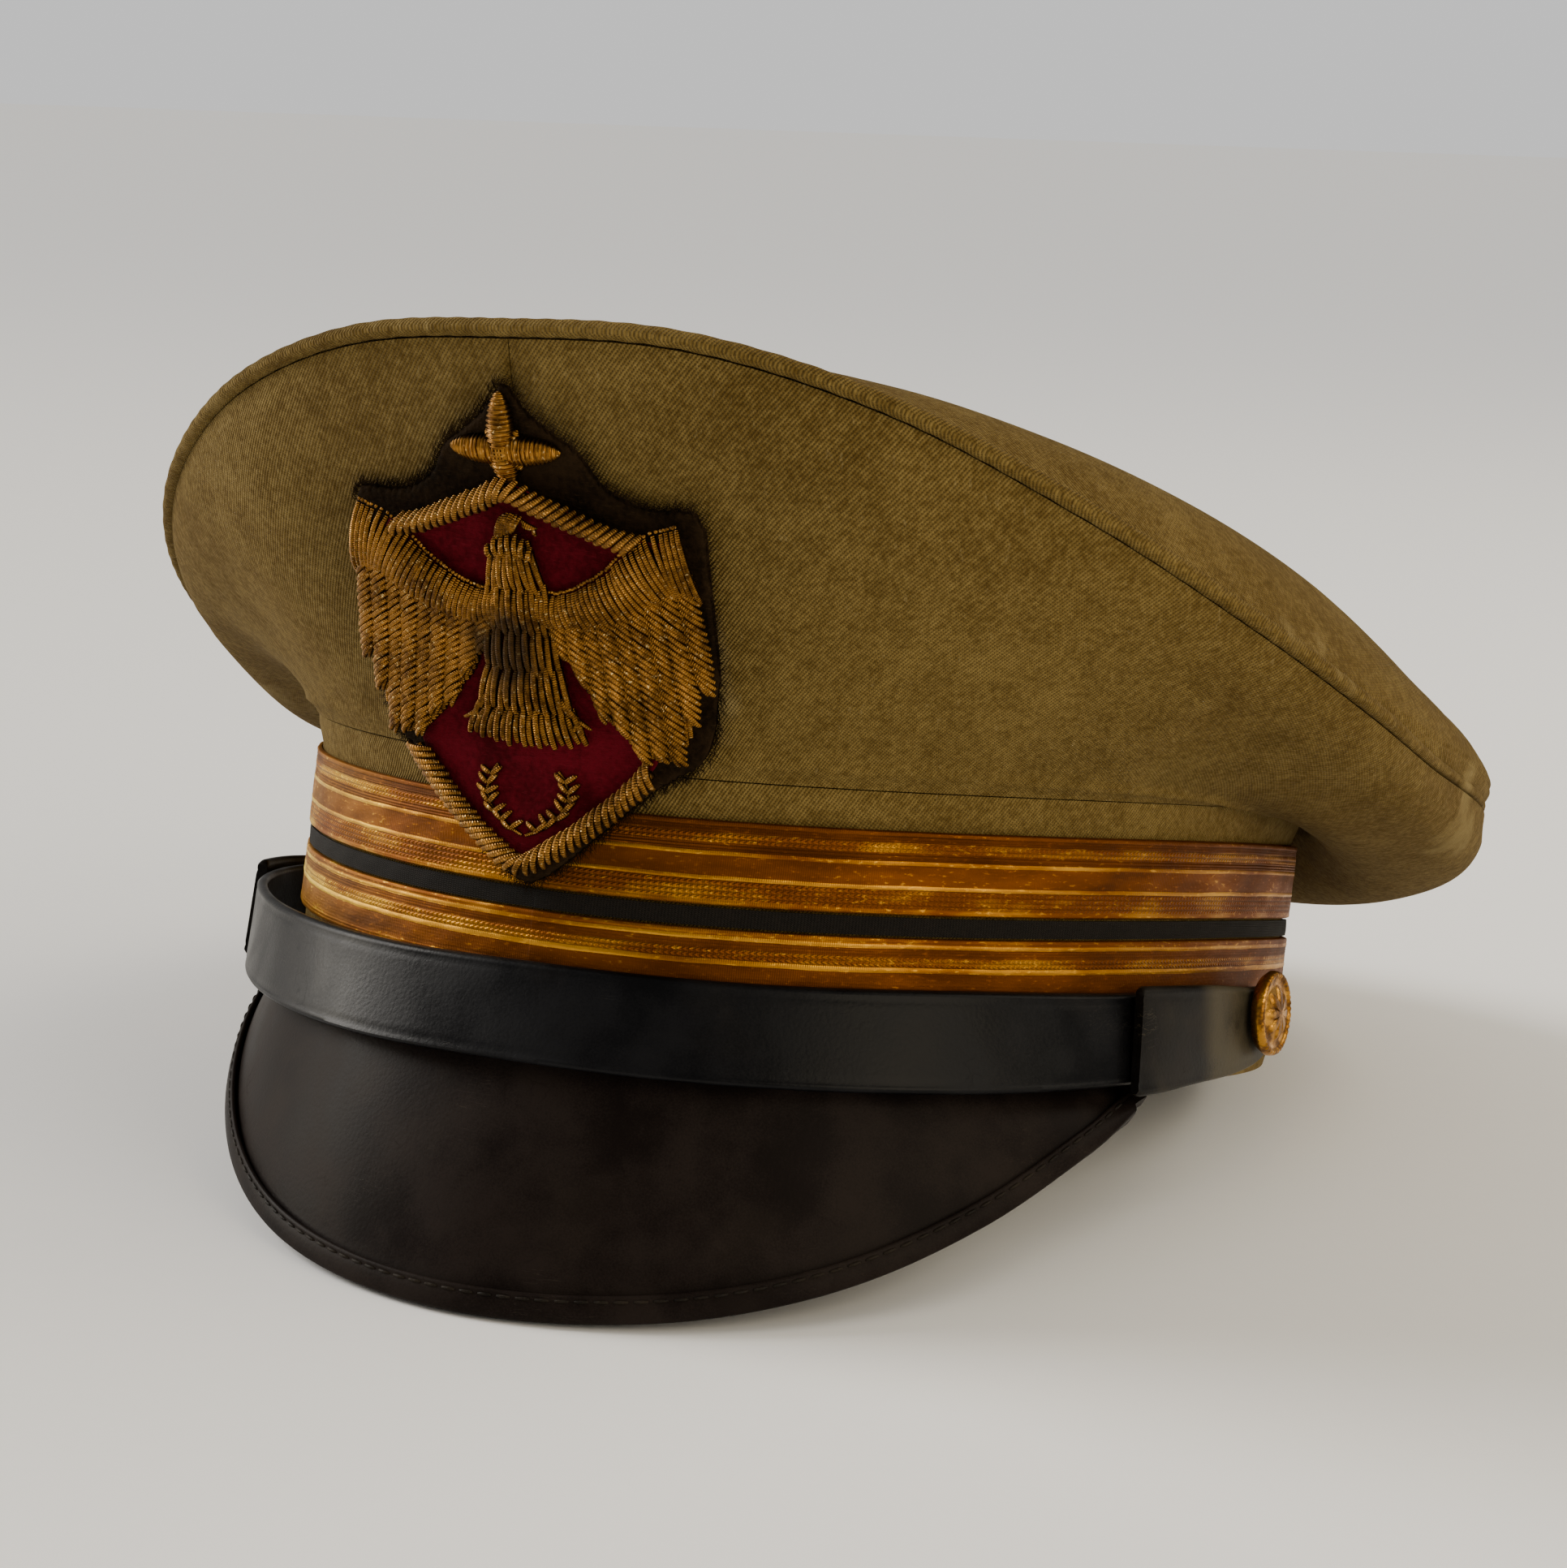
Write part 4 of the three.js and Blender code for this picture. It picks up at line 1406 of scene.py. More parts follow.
@dataclass
class Crown:
    """The cloth crown: two side halves, the corded seam and the top.

    Attributes:
        round_steps: Number of sections round the crown.
        levels: Number of rows up a side.
        top_levels: Number of rows from the middle of the top.
        slit: Half the angle between the halves.
        seam_dip: How deep the cloth lies in the seam between them.
        crease: How far the pressed fold over the lace stands out.
        bulge: How far the side stands out where the rim is a soft roll.
        rim_out: How much wider the top is there, as a share.
        rim_up: How much higher it is there.
        dents: Soft dents, each with its angle, height from 0 to 1, half widths and depth.
    """

    round_steps: int = 420
    levels: int = 64
    top_levels: int = 54
    slit: float = 0.05
    seam_dip: float = 0.5
    crease: float = 1.3
    bulge: float = 1.6
    rim_out: float = 0.026
    rim_up: float = 1.7
    dents: Table = field(
        default_factory=lambda: {
            "phi": (-42, -16, 14, 33, 52, 68, 88, 112, 140, 165, -70, -95, -128, -155),
            "v": (0.45, 0.3, 0.22, 0.5, 0.3, 0.6, 0.35, 0.5, 0.4, 0.5, 0.5, 0.35, 0.5, 0.4),
            "wide": (9, 5, 6, 10, 7, 8, 9, 12, 10, 9, 10, 9, 12, 10),
            "tall": (0.25, 0.14, 0.12, 0.22, 0.14, 0.2, 0.18, 0.2, 0.2, 0.2, 0.2, 0.16, 0.2, 0.2),
            "deep": (0.5, -0.35, -0.3, 0.45, -0.35, 0.5, -0.5, 0.6, -0.5, 0.5, 0.5, -0.5, 0.6, -0.5),
        }
    )

    @staticmethod
    def roll(phi: Array) -> Array:
        """Gives where the crown's rim is a soft roll, from 0 to 1."""
        return np.exp(-(((np.abs(phi) - 108) / 30) ** 4))

    def sag(self, phi: Array, v: Array) -> Array:
        """Gives how far the cloth lies inside its pattern: dents, puckers and the pressed seams.

        Args:
            phi: Angle round the head.
            v: Height on the side, from 0 to 1.

        Returns:
            Distances inwards.
        """
        total = 0.16 * ripple(phi, 9, 7 * v) * np.sin(math.pi * v)
        for at, height, wide, tall, deep in zip(*self.dents.values()):
            total += deep * bell(phi, at, wide) * bell(v, height, tall)
        total += 0.10 * ripple(phi, 71, 2.2 * ripple(phi, 7)) * bell(v, 0.93, 0.05)
        total += 0.13 * ripple(phi, 43, 1) * bell(v, 0.09, 0.07)
        total -= self.crease * bell(v, 0.055, 0.028) * (0.7 + 0.3 * ripple(phi, 5, 1))
        total -= self.bulge * self.roll(phi) * bell(v, 0.8, 0.17)
        total += self.seam_dip * (bell(np.abs(phi), 0, 0.55) + bell(np.abs(phi), 180, 0.55))
        return total * np.clip(np.minimum(v, 1 - v) / 0.1, 0, 1)

    def build(self) -> None:
        """Makes the crown's pieces."""
        for side in Side:
            self.build_side(side)
        self.build_cord()
        self.build_top()

    def build_side(self, side: Side) -> None:
        """Makes one half of the crown's side.

        Args:
            side: Which half.
        """
        share = np.linspace(0, 1, self.round_steps // 2)
        phi = self.slit + (180 - 2 * self.slit) * (0.5 - 0.5 * np.cos(math.pi * share)) ** 0.96
        if side is Side.RIGHT:
            phi = -phi[::-1]
        a, b = grid(phi, np.linspace(0.002, 0.998, self.levels))
        out = normal_of(side_point, a, b, 0.5, 0.002)
        outer = side_point(a, b) - out * self.sag(a, b)[..., None]
        outer[..., 2] += 0.42 * smooth_step(b, 0.93, 0.998) - 0.2 * (1 - smooth_step(b, 0.002, 0.04))
        piece = loft("crown_cloth_" + side.word, outer, outer - out * CLOTH, False)
        dress(piece, TWILL, "khaki_cloth", "crown_side_" + side.word)

    def build_cord(self) -> None:
        """Makes the corded seam."""
        phi = all_round(2 * self.round_steps)
        centre = seam_point(phi)
        along = unit(seam_point(phi + 0.5) - seam_point(phi - 0.5))
        out = unit(np.cross(along, UP))
        up = np.cross(out, along)
        centre[:, :2] *= (1 - 0.011 * self.roll(phi))[:, None]
        angle = np.linspace(0, 2 * math.pi, 14, endpoint=False)
        ring = out[:, None] * np.cos(angle)[:, None] + up[:, None] * np.sin(angle)[:, None]
        radius = CORD_RADIUS * (1 - 0.035 * (1 + ripple(phi, 151, 3 * ripple(phi, 11))))
        radius = radius * (1 - 0.25 * self.roll(phi))
        points = centre[:, None] + ring * radius[:, None, None]
        piece = loft("crown_cord", points[:, :7], points[:, :6:-1], True)
        dress(piece, TWILL, "khaki_cloth", "crown_seam_cord")

    def build_top(self) -> None:
        """Makes the domed top, slightly sunk in places."""
        r = 1 - (1 - np.linspace(0.004, 1, self.top_levels)) ** 1.6
        a, b = grid(all_round(self.round_steps), r)
        outer = top_point(a, b)
        rim = self.roll(a) * bell(b, 0.98, 0.045) * (1 - smooth_step(b, 0.99, 1))
        outer[..., :2] *= 1 + (0.0036 * smooth_step(b, 0.96, 1) + self.rim_out * rim)[..., None]
        outer[..., 2] += self.rim_up * rim
        x, y = outer[..., 0], outer[..., 1]
        sunk = 0.9 * bell(x, 22, 40) * bell(y, 40, 45) + 0.6 * bell(x, -38, 28) * bell(y, 5, 40)
        sunk += 0.10 * ripple(a, 67, 2 * ripple(a, 9)) * smooth_step(b, 0.86, 0.97)
        outer[..., 2] -= sunk * np.clip((1 - b) / 0.02, 0, 1)
        inner = outer - UP * (CLOTH - 0.1)
        dress(loft("crown_top_cloth", outer, inner, True), TWILL, "khaki_cloth", "crown_top")


@dataclass
class Band:
    """The stiff band with its lace.

    Attributes:
        round_steps: Number of sections round the band.
        lap: How much thicker the lace is where its end laps over.
        lap_end: Angle at which the lapped end stops.
    """

    round_steps: int = 440
    lap: float = 0.22
    lap_end: float = 0.5

    def ring(
        self, name: str, heights: Array, proud: Array, inner: float, lapped: bool = False
    ) -> bpy.types.Object:
        """Makes a ring round the band.

        Args:
            name: Name of the object.
            heights: Heights of its rows.
            proud: Growth of the oval at each row.
            inner: Growth of its inner face.
            lapped: Whether it has a lapped end at the front.

        Returns:
            The object.
        """
        lap_steps = self.lap_end + np.array([0.05, 0.12, 0.2])
        a, z = grid(np.sort(np.concatenate([all_round(self.round_steps), lap_steps])), heights)
        grow = np.repeat(proud[None], len(a), 0)
        if lapped:
            ends = smooth_step(a, self.lap_end, self.lap_end + 0.16) * (1 - smooth_step(a, 60, 179))
            slack = 0.05 * ripple(a, 23, z * 0.4) + 0.04 * ripple(a, 61, -z)
            grow = grow + (self.lap * ends + slack - 0.09) * (proud > inner + 0.2)
        return loft(name, band_point(a, grow, z), band_point(a, inner, z), True, 35, heights)

    def build(self) -> None:
        """Makes the band, the two laces and the stripe between them."""
        heights = np.linspace(0, BAND_HEIGHT, 26)
        rounded = np.minimum(heights, BAND_HEIGHT - heights)
        proud = -0.35 * np.clip(1 - rounded / 0.9, 0, 1) ** 2
        dress(self.ring("band_cloth", heights, proud, -2.0), TWILL, "khaki_cloth", "band")
        for word, span, finish in (("upper", UPPER_LACE, UPPER_GOLD), ("lower", LOWER_LACE, LOWER_GOLD)):
            piece = self.ring(f"lace_{word}_weave", *self.profile(span, finish.weave), GAP, True)
            dress(piece, finish, "gold_lace", "lace_" + word)
        heights = np.linspace(LOWER_LACE[1] + GAP, UPPER_LACE[0] - GAP, 12)
        proud = GAP + STRIPE_THICKNESS * (0.8 + 0.2 * np.sin(np.linspace(0, math.pi, 12)))
        piece = self.ring("lace_stripe_weave", heights, proud, GAP, True)
        dress(piece, STRIPE_SILK, "dark_lace", "lace_stripe")

    @staticmethod
    def profile(span: tuple[float, float], weave: Weave) -> tuple[Array, Array]:
        """Works out the rows of a lace.

        Args:
            span: Heights of its lower and upper edge.
            weave: Its stripes.

        Returns:
            The rows' heights and how far each stands out.
        """
        rows = np.linspace(*span, LACE_ROWS)
        proud = np.zeros_like(rows)
        top = span[1]
        for stripe in weave.value:
            share = np.clip((top - rows) / stripe.wide, 0, 1)
            lift = stripe.proud * np.sin(math.pi * share) ** 0.5
            ridges = 0.05 * stripe.ridges * np.sin((top - rows) / LACE_RIDGE * 2 * math.pi)
            proud = np.where((share > 0) & (share < 1), lift + ridges, proud)
            top -= stripe.wide
        edge = np.minimum(rows - span[0], span[1] - rows)
        return rows, GAP + LACE_THICKNESS - 0.2 - 0.45 * np.clip(1 - edge / 0.35, 0, 1) ** 2 + proud


@dataclass
class Visor:
    """The leather visor with its bound and sewn edge.

    Attributes:
        steps: Number of sections along the edge.
        near: Distance of the binding's inner face off the plate.
        wall: Thickness of the binding.
        inset: How far the plate stops short of the edge.
        sewing_in: Distance of the stitches from the edge.
        stitch: Length of a stitch.
        spacing: Distance from stitch to stitch.
        waxed: Radius of the thread.
    """

    steps: int = 300
    near: float = 0.45
    wall: float = 0.7
    inset: float = 1.65
    sewing_in: float = 3.25
    stitch: float = 2.0
    spacing: float = 2.9
    waxed: float = 0.2

    @staticmethod
    def layer(psi: Array, v: Array, depth: Array) -> Array:
        """Gives points off the visor's upper face.

        Args:
            psi: Angle round the visor.
            v: 0 at the band and 1 at the edge.
            depth: Distance above the face.

        Returns:
            The points.
        """
        above = normal_of(visor_point, psi, v, 0.5, 0.01)
        if above[..., 2].mean() < 0:
            above = -above
        return visor_point(psi, v) + above * np.asarray(depth)[..., None]

    def build(self) -> None:
        """Makes the plate, its binding and the stitches."""
        self.build_plate()
        self.build_binding()
        self.build_sewing()

    def build_plate(self) -> None:
        """Makes the plate."""
        psi = np.linspace(-VISOR_ANGLE, VISOR_ANGLE, self.steps)
        a, share = grid(psi, np.linspace(0, 1, 40))
        v = share * (1 - self.inset / visor_length(psi))[:, None]
        wave = 0.16 * ripple(a, 5, 3 * v) * np.sin(math.pi * v) - 0.1 * (v < 0.9)
        outer = self.layer(a, v, wave)
        inner = self.layer(a, v, np.full_like(a, -VISOR_THICKNESS))
        dress(loft("visor_leather", outer, inner, False), VISOR_LEATHER, "brown_leather", "visor")

    def build_binding(self) -> None:
        """Makes the folded strip round the edge."""
        limit = VISOR_ANGLE - 3.6
        psi = np.linspace(-limit, limit, self.steps)
        length = visor_length(psi)
        far = self.near + self.wall
        middle = VISOR_THICKNESS / 2

        def wall(reach: Sequence[float], off: Sequence[float]) -> Array:
            rows = [self.layer(psi, 1 - r / length, o - middle + 0 * psi) for r, o in zip(reach, off)]
            return np.stack(rows, 1)

        flat = [
            (BINDING_WIDTH - 0.05, self.near + 0.1),
            (BINDING_WIDTH, self.near + 0.42),
            (BINDING_WIDTH - 0.12, far - 0.12),
            (BINDING_WIDTH - 0.35, far),
            (self.sewing_in + 0.3, far),
            (self.sewing_in, far - 0.12),
            (self.sewing_in - 0.3, far),
            (2.2, far + 0.05),
            (1.6, far + 0.03),
        ]
        half = [(reach, middle + off) for reach, off in flat]
        turns = np.linspace(0.35, math.pi / 2, 7)
        half += [(1.15 * (1 - math.sin(a) ** 0.5), (middle + far) * abs(math.cos(a)) ** 0.5) for a in turns]
        rows = half + [(reach, -off) for reach, off in half[-2::-1]]
        seat = middle + self.near
        lining = [(BINDING_WIDTH - 0.1, seat)]
        lining += [(reach, seat) for reach in np.linspace(3.9, 1.25, 9)]
        lining += [(1.2, off) for off in np.linspace(seat, -seat, 6)[1:-1]]
        lining += [(reach, -seat) for reach in np.linspace(1.25, 3.9, 9)]
        lining += [(BINDING_WIDTH - 0.1, -seat)]
        at = np.linspace(0, len(lining) - 1, len(rows))
        inner = [np.interp(at, np.arange(len(lining)), values) for values in zip(*lining)]
        piece = loft("visor_edge_binding", wall(*zip(*rows)), wall(*inner), False)
        dress(piece, VISOR_LEATHER, "brown_leather", "visor_binding")

    def build_sewing(self) -> None:
        """Makes the stitches along the binding."""
        limit = VISOR_ANGLE - 4.8
        psi = np.linspace(-limit, limit, 4000)
        run = run_along(self.layer(psi, 1 - self.sewing_in / visor_length(psi), 0 * psi))
        starts = np.arange(0.5, run[-1] - self.stitch, self.spacing)
        t = np.linspace(0, 1, 7)
        at = np.interp(starts[:, None] + self.stitch * t, run, psi)
        v = 1 - self.sewing_in / visor_length(at)
        far = self.near + self.wall
        threads = Threads()
        for base, sign in ((far, 1), (-VISOR_THICKNESS - far, -1)):
            off = base + sign * (0.16 * np.sin(math.pi * t) - 0.14)
            paths = self.layer(at, v, np.broadcast_to(off, at.shape))
            threads.add(paths, self.waxed + 0.06 * np.sin(math.pi * t), np.array([0.0, -0.3, 1.0]))
        dress(threads.build("visor_sewing"), SEWING, "brown_leather")


@dataclass
class ChinStrap:
    """The chin strap with its tabs and buttons.

    Attributes:
        steps: Number of sections along the strap.
        reach: Angle at which it ends.
        tab_from: Angle at which a tab starts.
        tab_to: Angle at which it ends.
        tab_slant: How many degrees its front end leans over its width.
        reeds: Number of reeds round a button's rim.
        petals: Number of petals of its rosette.
        button: Radii of a button's face with their rise.
    """

    steps: int = 320
    reach: float = 95.0
    tab_from: float = 67.0
    tab_to: float = 98.0
    tab_slant: float = 2.2
    reeds: int = 40
    petals: int = 8
    button: Table = field(
        default_factory=lambda: {
            "radius": (
                *(0.05, 0.6, 1.2, 1.8, 2.4, 3, 3.5, 4, 4.5),
                *(5.1, 5.5, 5.8, 6, 6.25, 6.5, 6.8, 6.98, 7.08),
            ),
            "rise": (
                *(3.6, 3.6, 3.57, 3.52, 3.45, 3.37, 3.25, 3.05, 2.85),
                *(2.62, 2.48, 2.46, 2.7, 2.9, 2.9, 2.75, 2.4, 1.9),
            ),
        }
    )

    @staticmethod
    def strip(
        name: str, phi: Array, inner: float, thickness: float, wider: Array, waver: float, slant: float = 0.0
    ) -> bpy.types.Object:
        """Makes a strip of leather along the strap.

        Args:
            name: Name of the object.
            phi: Angles of its sections.
            inner: Distance of its inner face off the strap's.
            thickness: Its thickness.
            wider: How far its edges stand past the strap's.
            waver: How unevenly it lies.
            slant: How many degrees its front end leans over its width.

        Returns:
            The object.
        """
        low_edge, high_edge = (0.0, 0.012, 0.04, 0.07, 0.09), (0.91, 0.93, 0.96, 0.988, 1.0)
        places = np.concatenate([low_edge, np.linspace(0.13, 0.87, 14), high_edge])
        edge = np.minimum(places, 1 - places)
        rounding = np.clip(1 - edge / 0.045, 0, 1) ** 2
        crease = 0.14 * bell(edge, 0.085, 0.012)
        a, b = grid(phi, places)
        a = a + np.sign(a) * slant * (b - 0.7) * np.clip((76 - np.abs(a)) / 9, 0, 1)
        base = strap_point(a, b, 0, wider[:, None])
        out = unit(strap_point(a, b, 1, wider[:, None]) - base)
        lie = waver * (ripple(a, 11, 2 * b) - 1) * np.sin(math.pi * b)
        top = inner + thickness - rounding * 0.7 - crease + lie
        low = inner + rounding * 0.5 + 0 * a
        return loft(name, base + out * top[..., None], base + out * low[..., None], False)

    def build(self) -> None:
        """Makes the strap, the tabs and the buttons."""
        phi = np.linspace(-self.reach, self.reach, self.steps)
        strap = self.strip("strap_leather", phi, 0, STRAP_THICKNESS, np.zeros_like(phi), 0.06)
        dress(strap, STRAP_LEATHER, "black_leather", "chin_strap")
        start, stop = self.tab_from, self.tab_to
        ends = (start, start + 0.08, start + 0.25, start + 0.5), (stop - 0.4, stop - 0.15, stop)
        phi = np.concatenate([ends[0], np.linspace(start + 1, stop - 0.8, 60), ends[1]])
        short = np.clip(1 - np.minimum(phi - start, stop - phi) / 0.5, 0, 1) ** 2
        wider = column(TAB_SECTIONS, "phi", "wider", phi) - 0.4 * short
        inner = STRAP_THICKNESS + TAB_SLACK
        for side in Side:
            name = "tab_leather_" + side.word
            tab = self.strip(name, phi * side.value, inner, TAB_THICKNESS, wider, 0.05, self.tab_slant)
            dress(tab, TAB_LEATHER, "black_leather", "strap_tab_" + side.word)
            self.build_button(side)

    def build_button(self, side: Side) -> None:
        """Makes a domed button with a reeded rim and a plain rosette.

        Args:
            side: The side that it is on.
        """
        phi = BUTTON_ANGLE * side.value
        low, high = (float(column(STRAP_SECTIONS, "phi", name, phi)) for name in ("bottom", "top"))
        wider = float(column(TAB_SECTIONS, "phi", "wider", abs(phi)))
        v = (BUTTON_HEIGHT - low + wider) / (high - low + 2 * wider)

        def face(a: Array, b: Array) -> Array:
            return strap_point(a, b, STRAP_THICKNESS + TAB_SLACK + TAB_THICKNESS, wider)

        axis = normal_of(face, np.array(phi), np.array(v), 0.5, 0.02)
        axis = axis * np.sign(axis[0] * side.value)
        seat = face(phi, v) + axis * GAP
        up = unit(UP - axis * axis[2])
        across = np.cross(up, axis)
        r = np.array(self.button["radius"])
        a, reach = grid(np.linspace(0, 2 * math.pi, 160, endpoint=False), r)
        petal = np.abs(np.cos(a * self.petals / 2)) ** 0.6 * 4.3
        lift = self.button["rise"] - 0.12 * (np.cos(a * self.reeds) > 0) * (reach > 5.9)
        lift = lift - 0.32 * smooth_step(reach, petal - 0.25, petal + 0.25) * (reach < 5.3) * (reach > 0.9)
        disc = seat + (across * np.cos(a)[..., None] + up * np.sin(a)[..., None]) * reach[..., None]
        back = np.interp(reach, (0, 3, 6.3, 7.1), (0, 0, 0.4, 1.5))
        name = "button_gilt_" + side.word
        piece = loft(name, disc + axis * lift[..., None], disc + axis * back[..., None], True, 60)
        dress(piece, WORN_GILT, "gilt_brass", "strap_button_" + side.word)


def stitches(x: Array, z: Array, to_x: Array, to_z: Array) -> Array:
    """Gives stitches by their ends, one a row."""
    return np.stack(np.broadcast_arrays(x, z, to_x, to_z), -1)


@dataclass
class Badge:
    """The embroidered badge: a plain heraldic eagle with open wings on a shield, under a star.

    Attributes:
        back_half: Half the felt back's width.
        back_layer: Distances of its back and front off the badge's face.
        shield_half: Half the shield's width.
        shield_layer: Distances of its back and front.
        pad_off: Distance of the wings' padding off the badge's face.
        body_off: Distance of the body's threads.
        feathers: Number of feathers in a wing.
        rope_pitch: Distance from strand to strand of the rope.
        star_middle: Height of the star's middle.
        rays: Lengths of its rays, from the upper one round.
        fibres: Number of loose fibres round the felt.
        unevenness: How far the ends of stitches stray.
        hand: Source of that unevenness.
    """

    back_half: float = 29.2
    back_layer: tuple[float, float] = (0.8, 1.8)
    shield_half: float = 23.0
    shield_layer: tuple[float, float] = (2.3, 3.2)
    pad_off: float = 3.95
    body_off: float = 5.0
    feathers: int = 9
    rope_pitch: float = 1.3
    star_middle: float = 87.4
    rays: tuple[float, ...] = (7.4, 3.6, 9.0, 3.6, 4.6, 3.6, 9.0, 3.6)
    fibres: int = 3000
    unevenness: float = 0.07
    hand: np.random.Generator = field(default_factory=lambda: np.random.default_rng(5))

    @staticmethod
    def slab(
        name: str, rows: Table, half: float, low: float, high: float, ragged: float
    ) -> bpy.types.Object:
        """Makes a layer of the badge.

        Args:
            name: Name of the object.
            rows: Its outline by distance from the middle.
            half: Half its width.
            low: Distance of its back off the badge's face.
            high: Distance of its front.
            ragged: How uneven its edge is.

        Returns:
            The object.
        """
        x = np.linspace(-half, half, 170)
        fray = ragged * (np.sin(x * 5.1) + 0.7 * np.sin(x * 11.3 + 1) + 0.5 * np.sin(x * 23 + 2))
        bottom = (column(rows, "across", "low", np.abs(x)) + fray)[:, None]
        top = (column(rows, "across", "high", np.abs(x)) + fray[::-1])[:, None]
        low_edge, high_edge = (0.0, 0.004, 0.012, 0.025), (0.975, 0.988, 0.996, 1.0)
        a, t = grid(x, np.concatenate([low_edge, np.linspace(0.05, 0.95, 30), high_edge]))
        z = bottom + (top - bottom) * t
        edge = np.minimum(np.minimum(z - bottom, top - z), (half - np.abs(a)) * 0.8)
        off = high - (high - low) * 0.6 * np.clip(1 - edge / 0.8, 0, 1) ** 2
        off = off + 0.05 * np.sin(a * 1.9) * np.sin(z * 1.4)
        return loft(name, badge_point(a, z, off), badge_point(a, z, low), False)

    def lay(
        self,
        threads: Threads,
        ends: Array,
        radius: float,
        base: float,
        lift: float,
        taper: float = 0.5,
        bow: float = 0.0,
        steps: int = 8,
    ) -> None:
        """Lays stitches on the badge.

        Args:
            threads: Mesh that they are added to.
            ends: Rows of x, z of the start and x, z of the end.
            radius: Radius of the thread.
            base: Distance of the ends off the badge's face.
            lift: How far their middles stand higher.
            taper: Thickness of the ends as a share.
            bow: Sideways bend in the middle.
            steps: Number of sections in a stitch.
        """
        ends = np.asarray(ends, float)
        t = np.linspace(0, 1, steps)
        hump = np.sin(math.pi * t)
        ends = ends + self.hand.normal(0, self.unevenness, ends.shape)
        dx, dz = ends[:, 2] - ends[:, 0], ends[:, 3] - ends[:, 1]
        size = np.maximum(np.hypot(dx, dz), 1e-6)
        x = ends[:, :1] + dx[:, None] * t + (bow * -dz / size)[:, None] * hump
        z = ends[:, 1:2] + dz[:, None] * t + (bow * dx / size)[:, None] * hump
        paths = badge_point(x, z, base + lift * hump**0.7)
        fronts = normal_of(badge_face, x, z, 0.5, 0.5)
        threads.add(paths, radius * (taper + (1 - taper) * hump**0.5), fronts)

    def build(self) -> None:
        """Makes the badge's pieces."""
        back = self.slab("badge_felt_back", BACKING_ROWS, self.back_half, *self.back_layer, 0.12)
        dress(back, BACK_FELT, "brown_felt", "badge_backing")
        shield = self.slab("badge_felt_shield", SHIELD_ROWS, self.shield_half, *self.shield_layer, 0.03)
        dress(shield, FIELD_FELT, "crimson_felt", "badge_shield")
        self.build_rope("upper", "high", 19.6)
        self.build_rope("lower", "low", 19.0)
        for side in Side:
            self.build_wing(side)
        self.build_body()
        self.build_star()
        self.build_sprig()
        self.build_fuzz()

    def build_rope(self, word: str, edge: str, half: float) -> None:
        """Makes the twisted rope along an edge of the shield.

        Args:
            word: Its word in names.
            edge: The shield's column that it follows.
            half: How far it reaches to either side.
        """
        x = np.linspace(-half, half, 1200)
        line = np.stack([x, column(SHIELD_ROWS, "across", edge, np.abs(x))], -1)
        run = run_along(line)

        def along(at: Array) -> Array:
            return np.stack([np.interp(at, run, line[:, 0]), np.interp(at, run, line[:, 1])])

        at = np.arange(0.3, run[-1] - 0.3, self.rope_pitch)
        px, pz = along(at)
        ux, uz = unit((along(at + 0.05) - along(at - 0.05)).T).T
        lean, thick = 1.35, 1.45
        dx, dz = ux * lean - uz * thick, uz * lean + ux * thick
        threads = Threads(8)
        self.lay(threads, stitches(px - dx, pz - dz, px + dx, pz + dz), 0.62, 4.0, 1.6, 0.75)
        core = badge_point(*along(np.linspace(0, run[-1], 90)), 4.25)
        threads.add(core[None], 0.95, np.array([0.0, -1.0, -0.3]))
        dress(threads.build("badge_rope_twist_" + word), ROPE_WIRE, "gold_thread", "badge_rope_" + word)

    def build_wing(self, side: Side) -> None:
        """Makes an open wing: hanging feathers of slanted stitches under a satin-stitched arm.

        Args:
            side: The side that it is on.
        """
        s = side.value
        threads = Threads()
        arm_x = np.array([3.6, 7, 10.5, 14, 17.5, 20.5, 23.8, 27.2])
        arm_z = np.array([65.6, 65.0, 65.8, 67.2, 69.0, 71.4, 73.3, 73.9])
        for k in range(self.feathers):
            t = k / (self.feathers - 1)
            top_x = 5.6 + 20.2 * t
            top_z = float(np.interp(top_x, arm_x, arm_z)) + 0.4
            tip_x = 6.6 + 21.2 * t + 0.8 * math.sin(math.pi * t)
            tip_z = float(column(WING_ROWS, "across", "low", tip_x)) + 0.6 + 1.6 * (k % 2) * (t < 0.9)
            length = top_z - tip_z
            rows = np.arange(0.2, length, 1.0) / length
            x = top_x + (tip_x - top_x) * rows**0.8
            z = top_z - length * rows
            wide = 1.8 * (1 - 0.35 * np.clip((rows - 0.8) / 0.2, 0, 1))
            ends = stitches(s * (x - wide), z + 1.15, s * (x + wide), z - 1.15)
            self.lay(threads, ends, 0.5, 4.3 + 0.14 * (k % 2), 0.6, 0.7, 0.15 * s)
            tip = [[s * (tip_x - 0.9), tip_z + 1.2, s * (tip_x + 0.25), tip_z - 0.9]]
            self.lay(threads, tip, 0.42, 4.3, 0.4, 0.6)
        self.build_arm(threads, s, arm_x, arm_z)
        x = np.linspace(5.8, 26.2, 34)
        bottom = column(WING_ROWS, "across", "low", x) + 1.2
        rise = np.interp(x, arm_x, arm_z) - bottom
        for low, high in ((0.0, 0.36), (0.36, 0.7), (0.7, 1.0)):
            ends = stitches(s * x, bottom + rise * low, s * x, bottom + rise * high)
            self.lay(threads, ends, 0.55, self.pad_off, 0.12, 0.9)
        dress(threads.build("badge_feathers_" + side.word), WIRE, "gold_thread", "badge_wing_" + side.word)

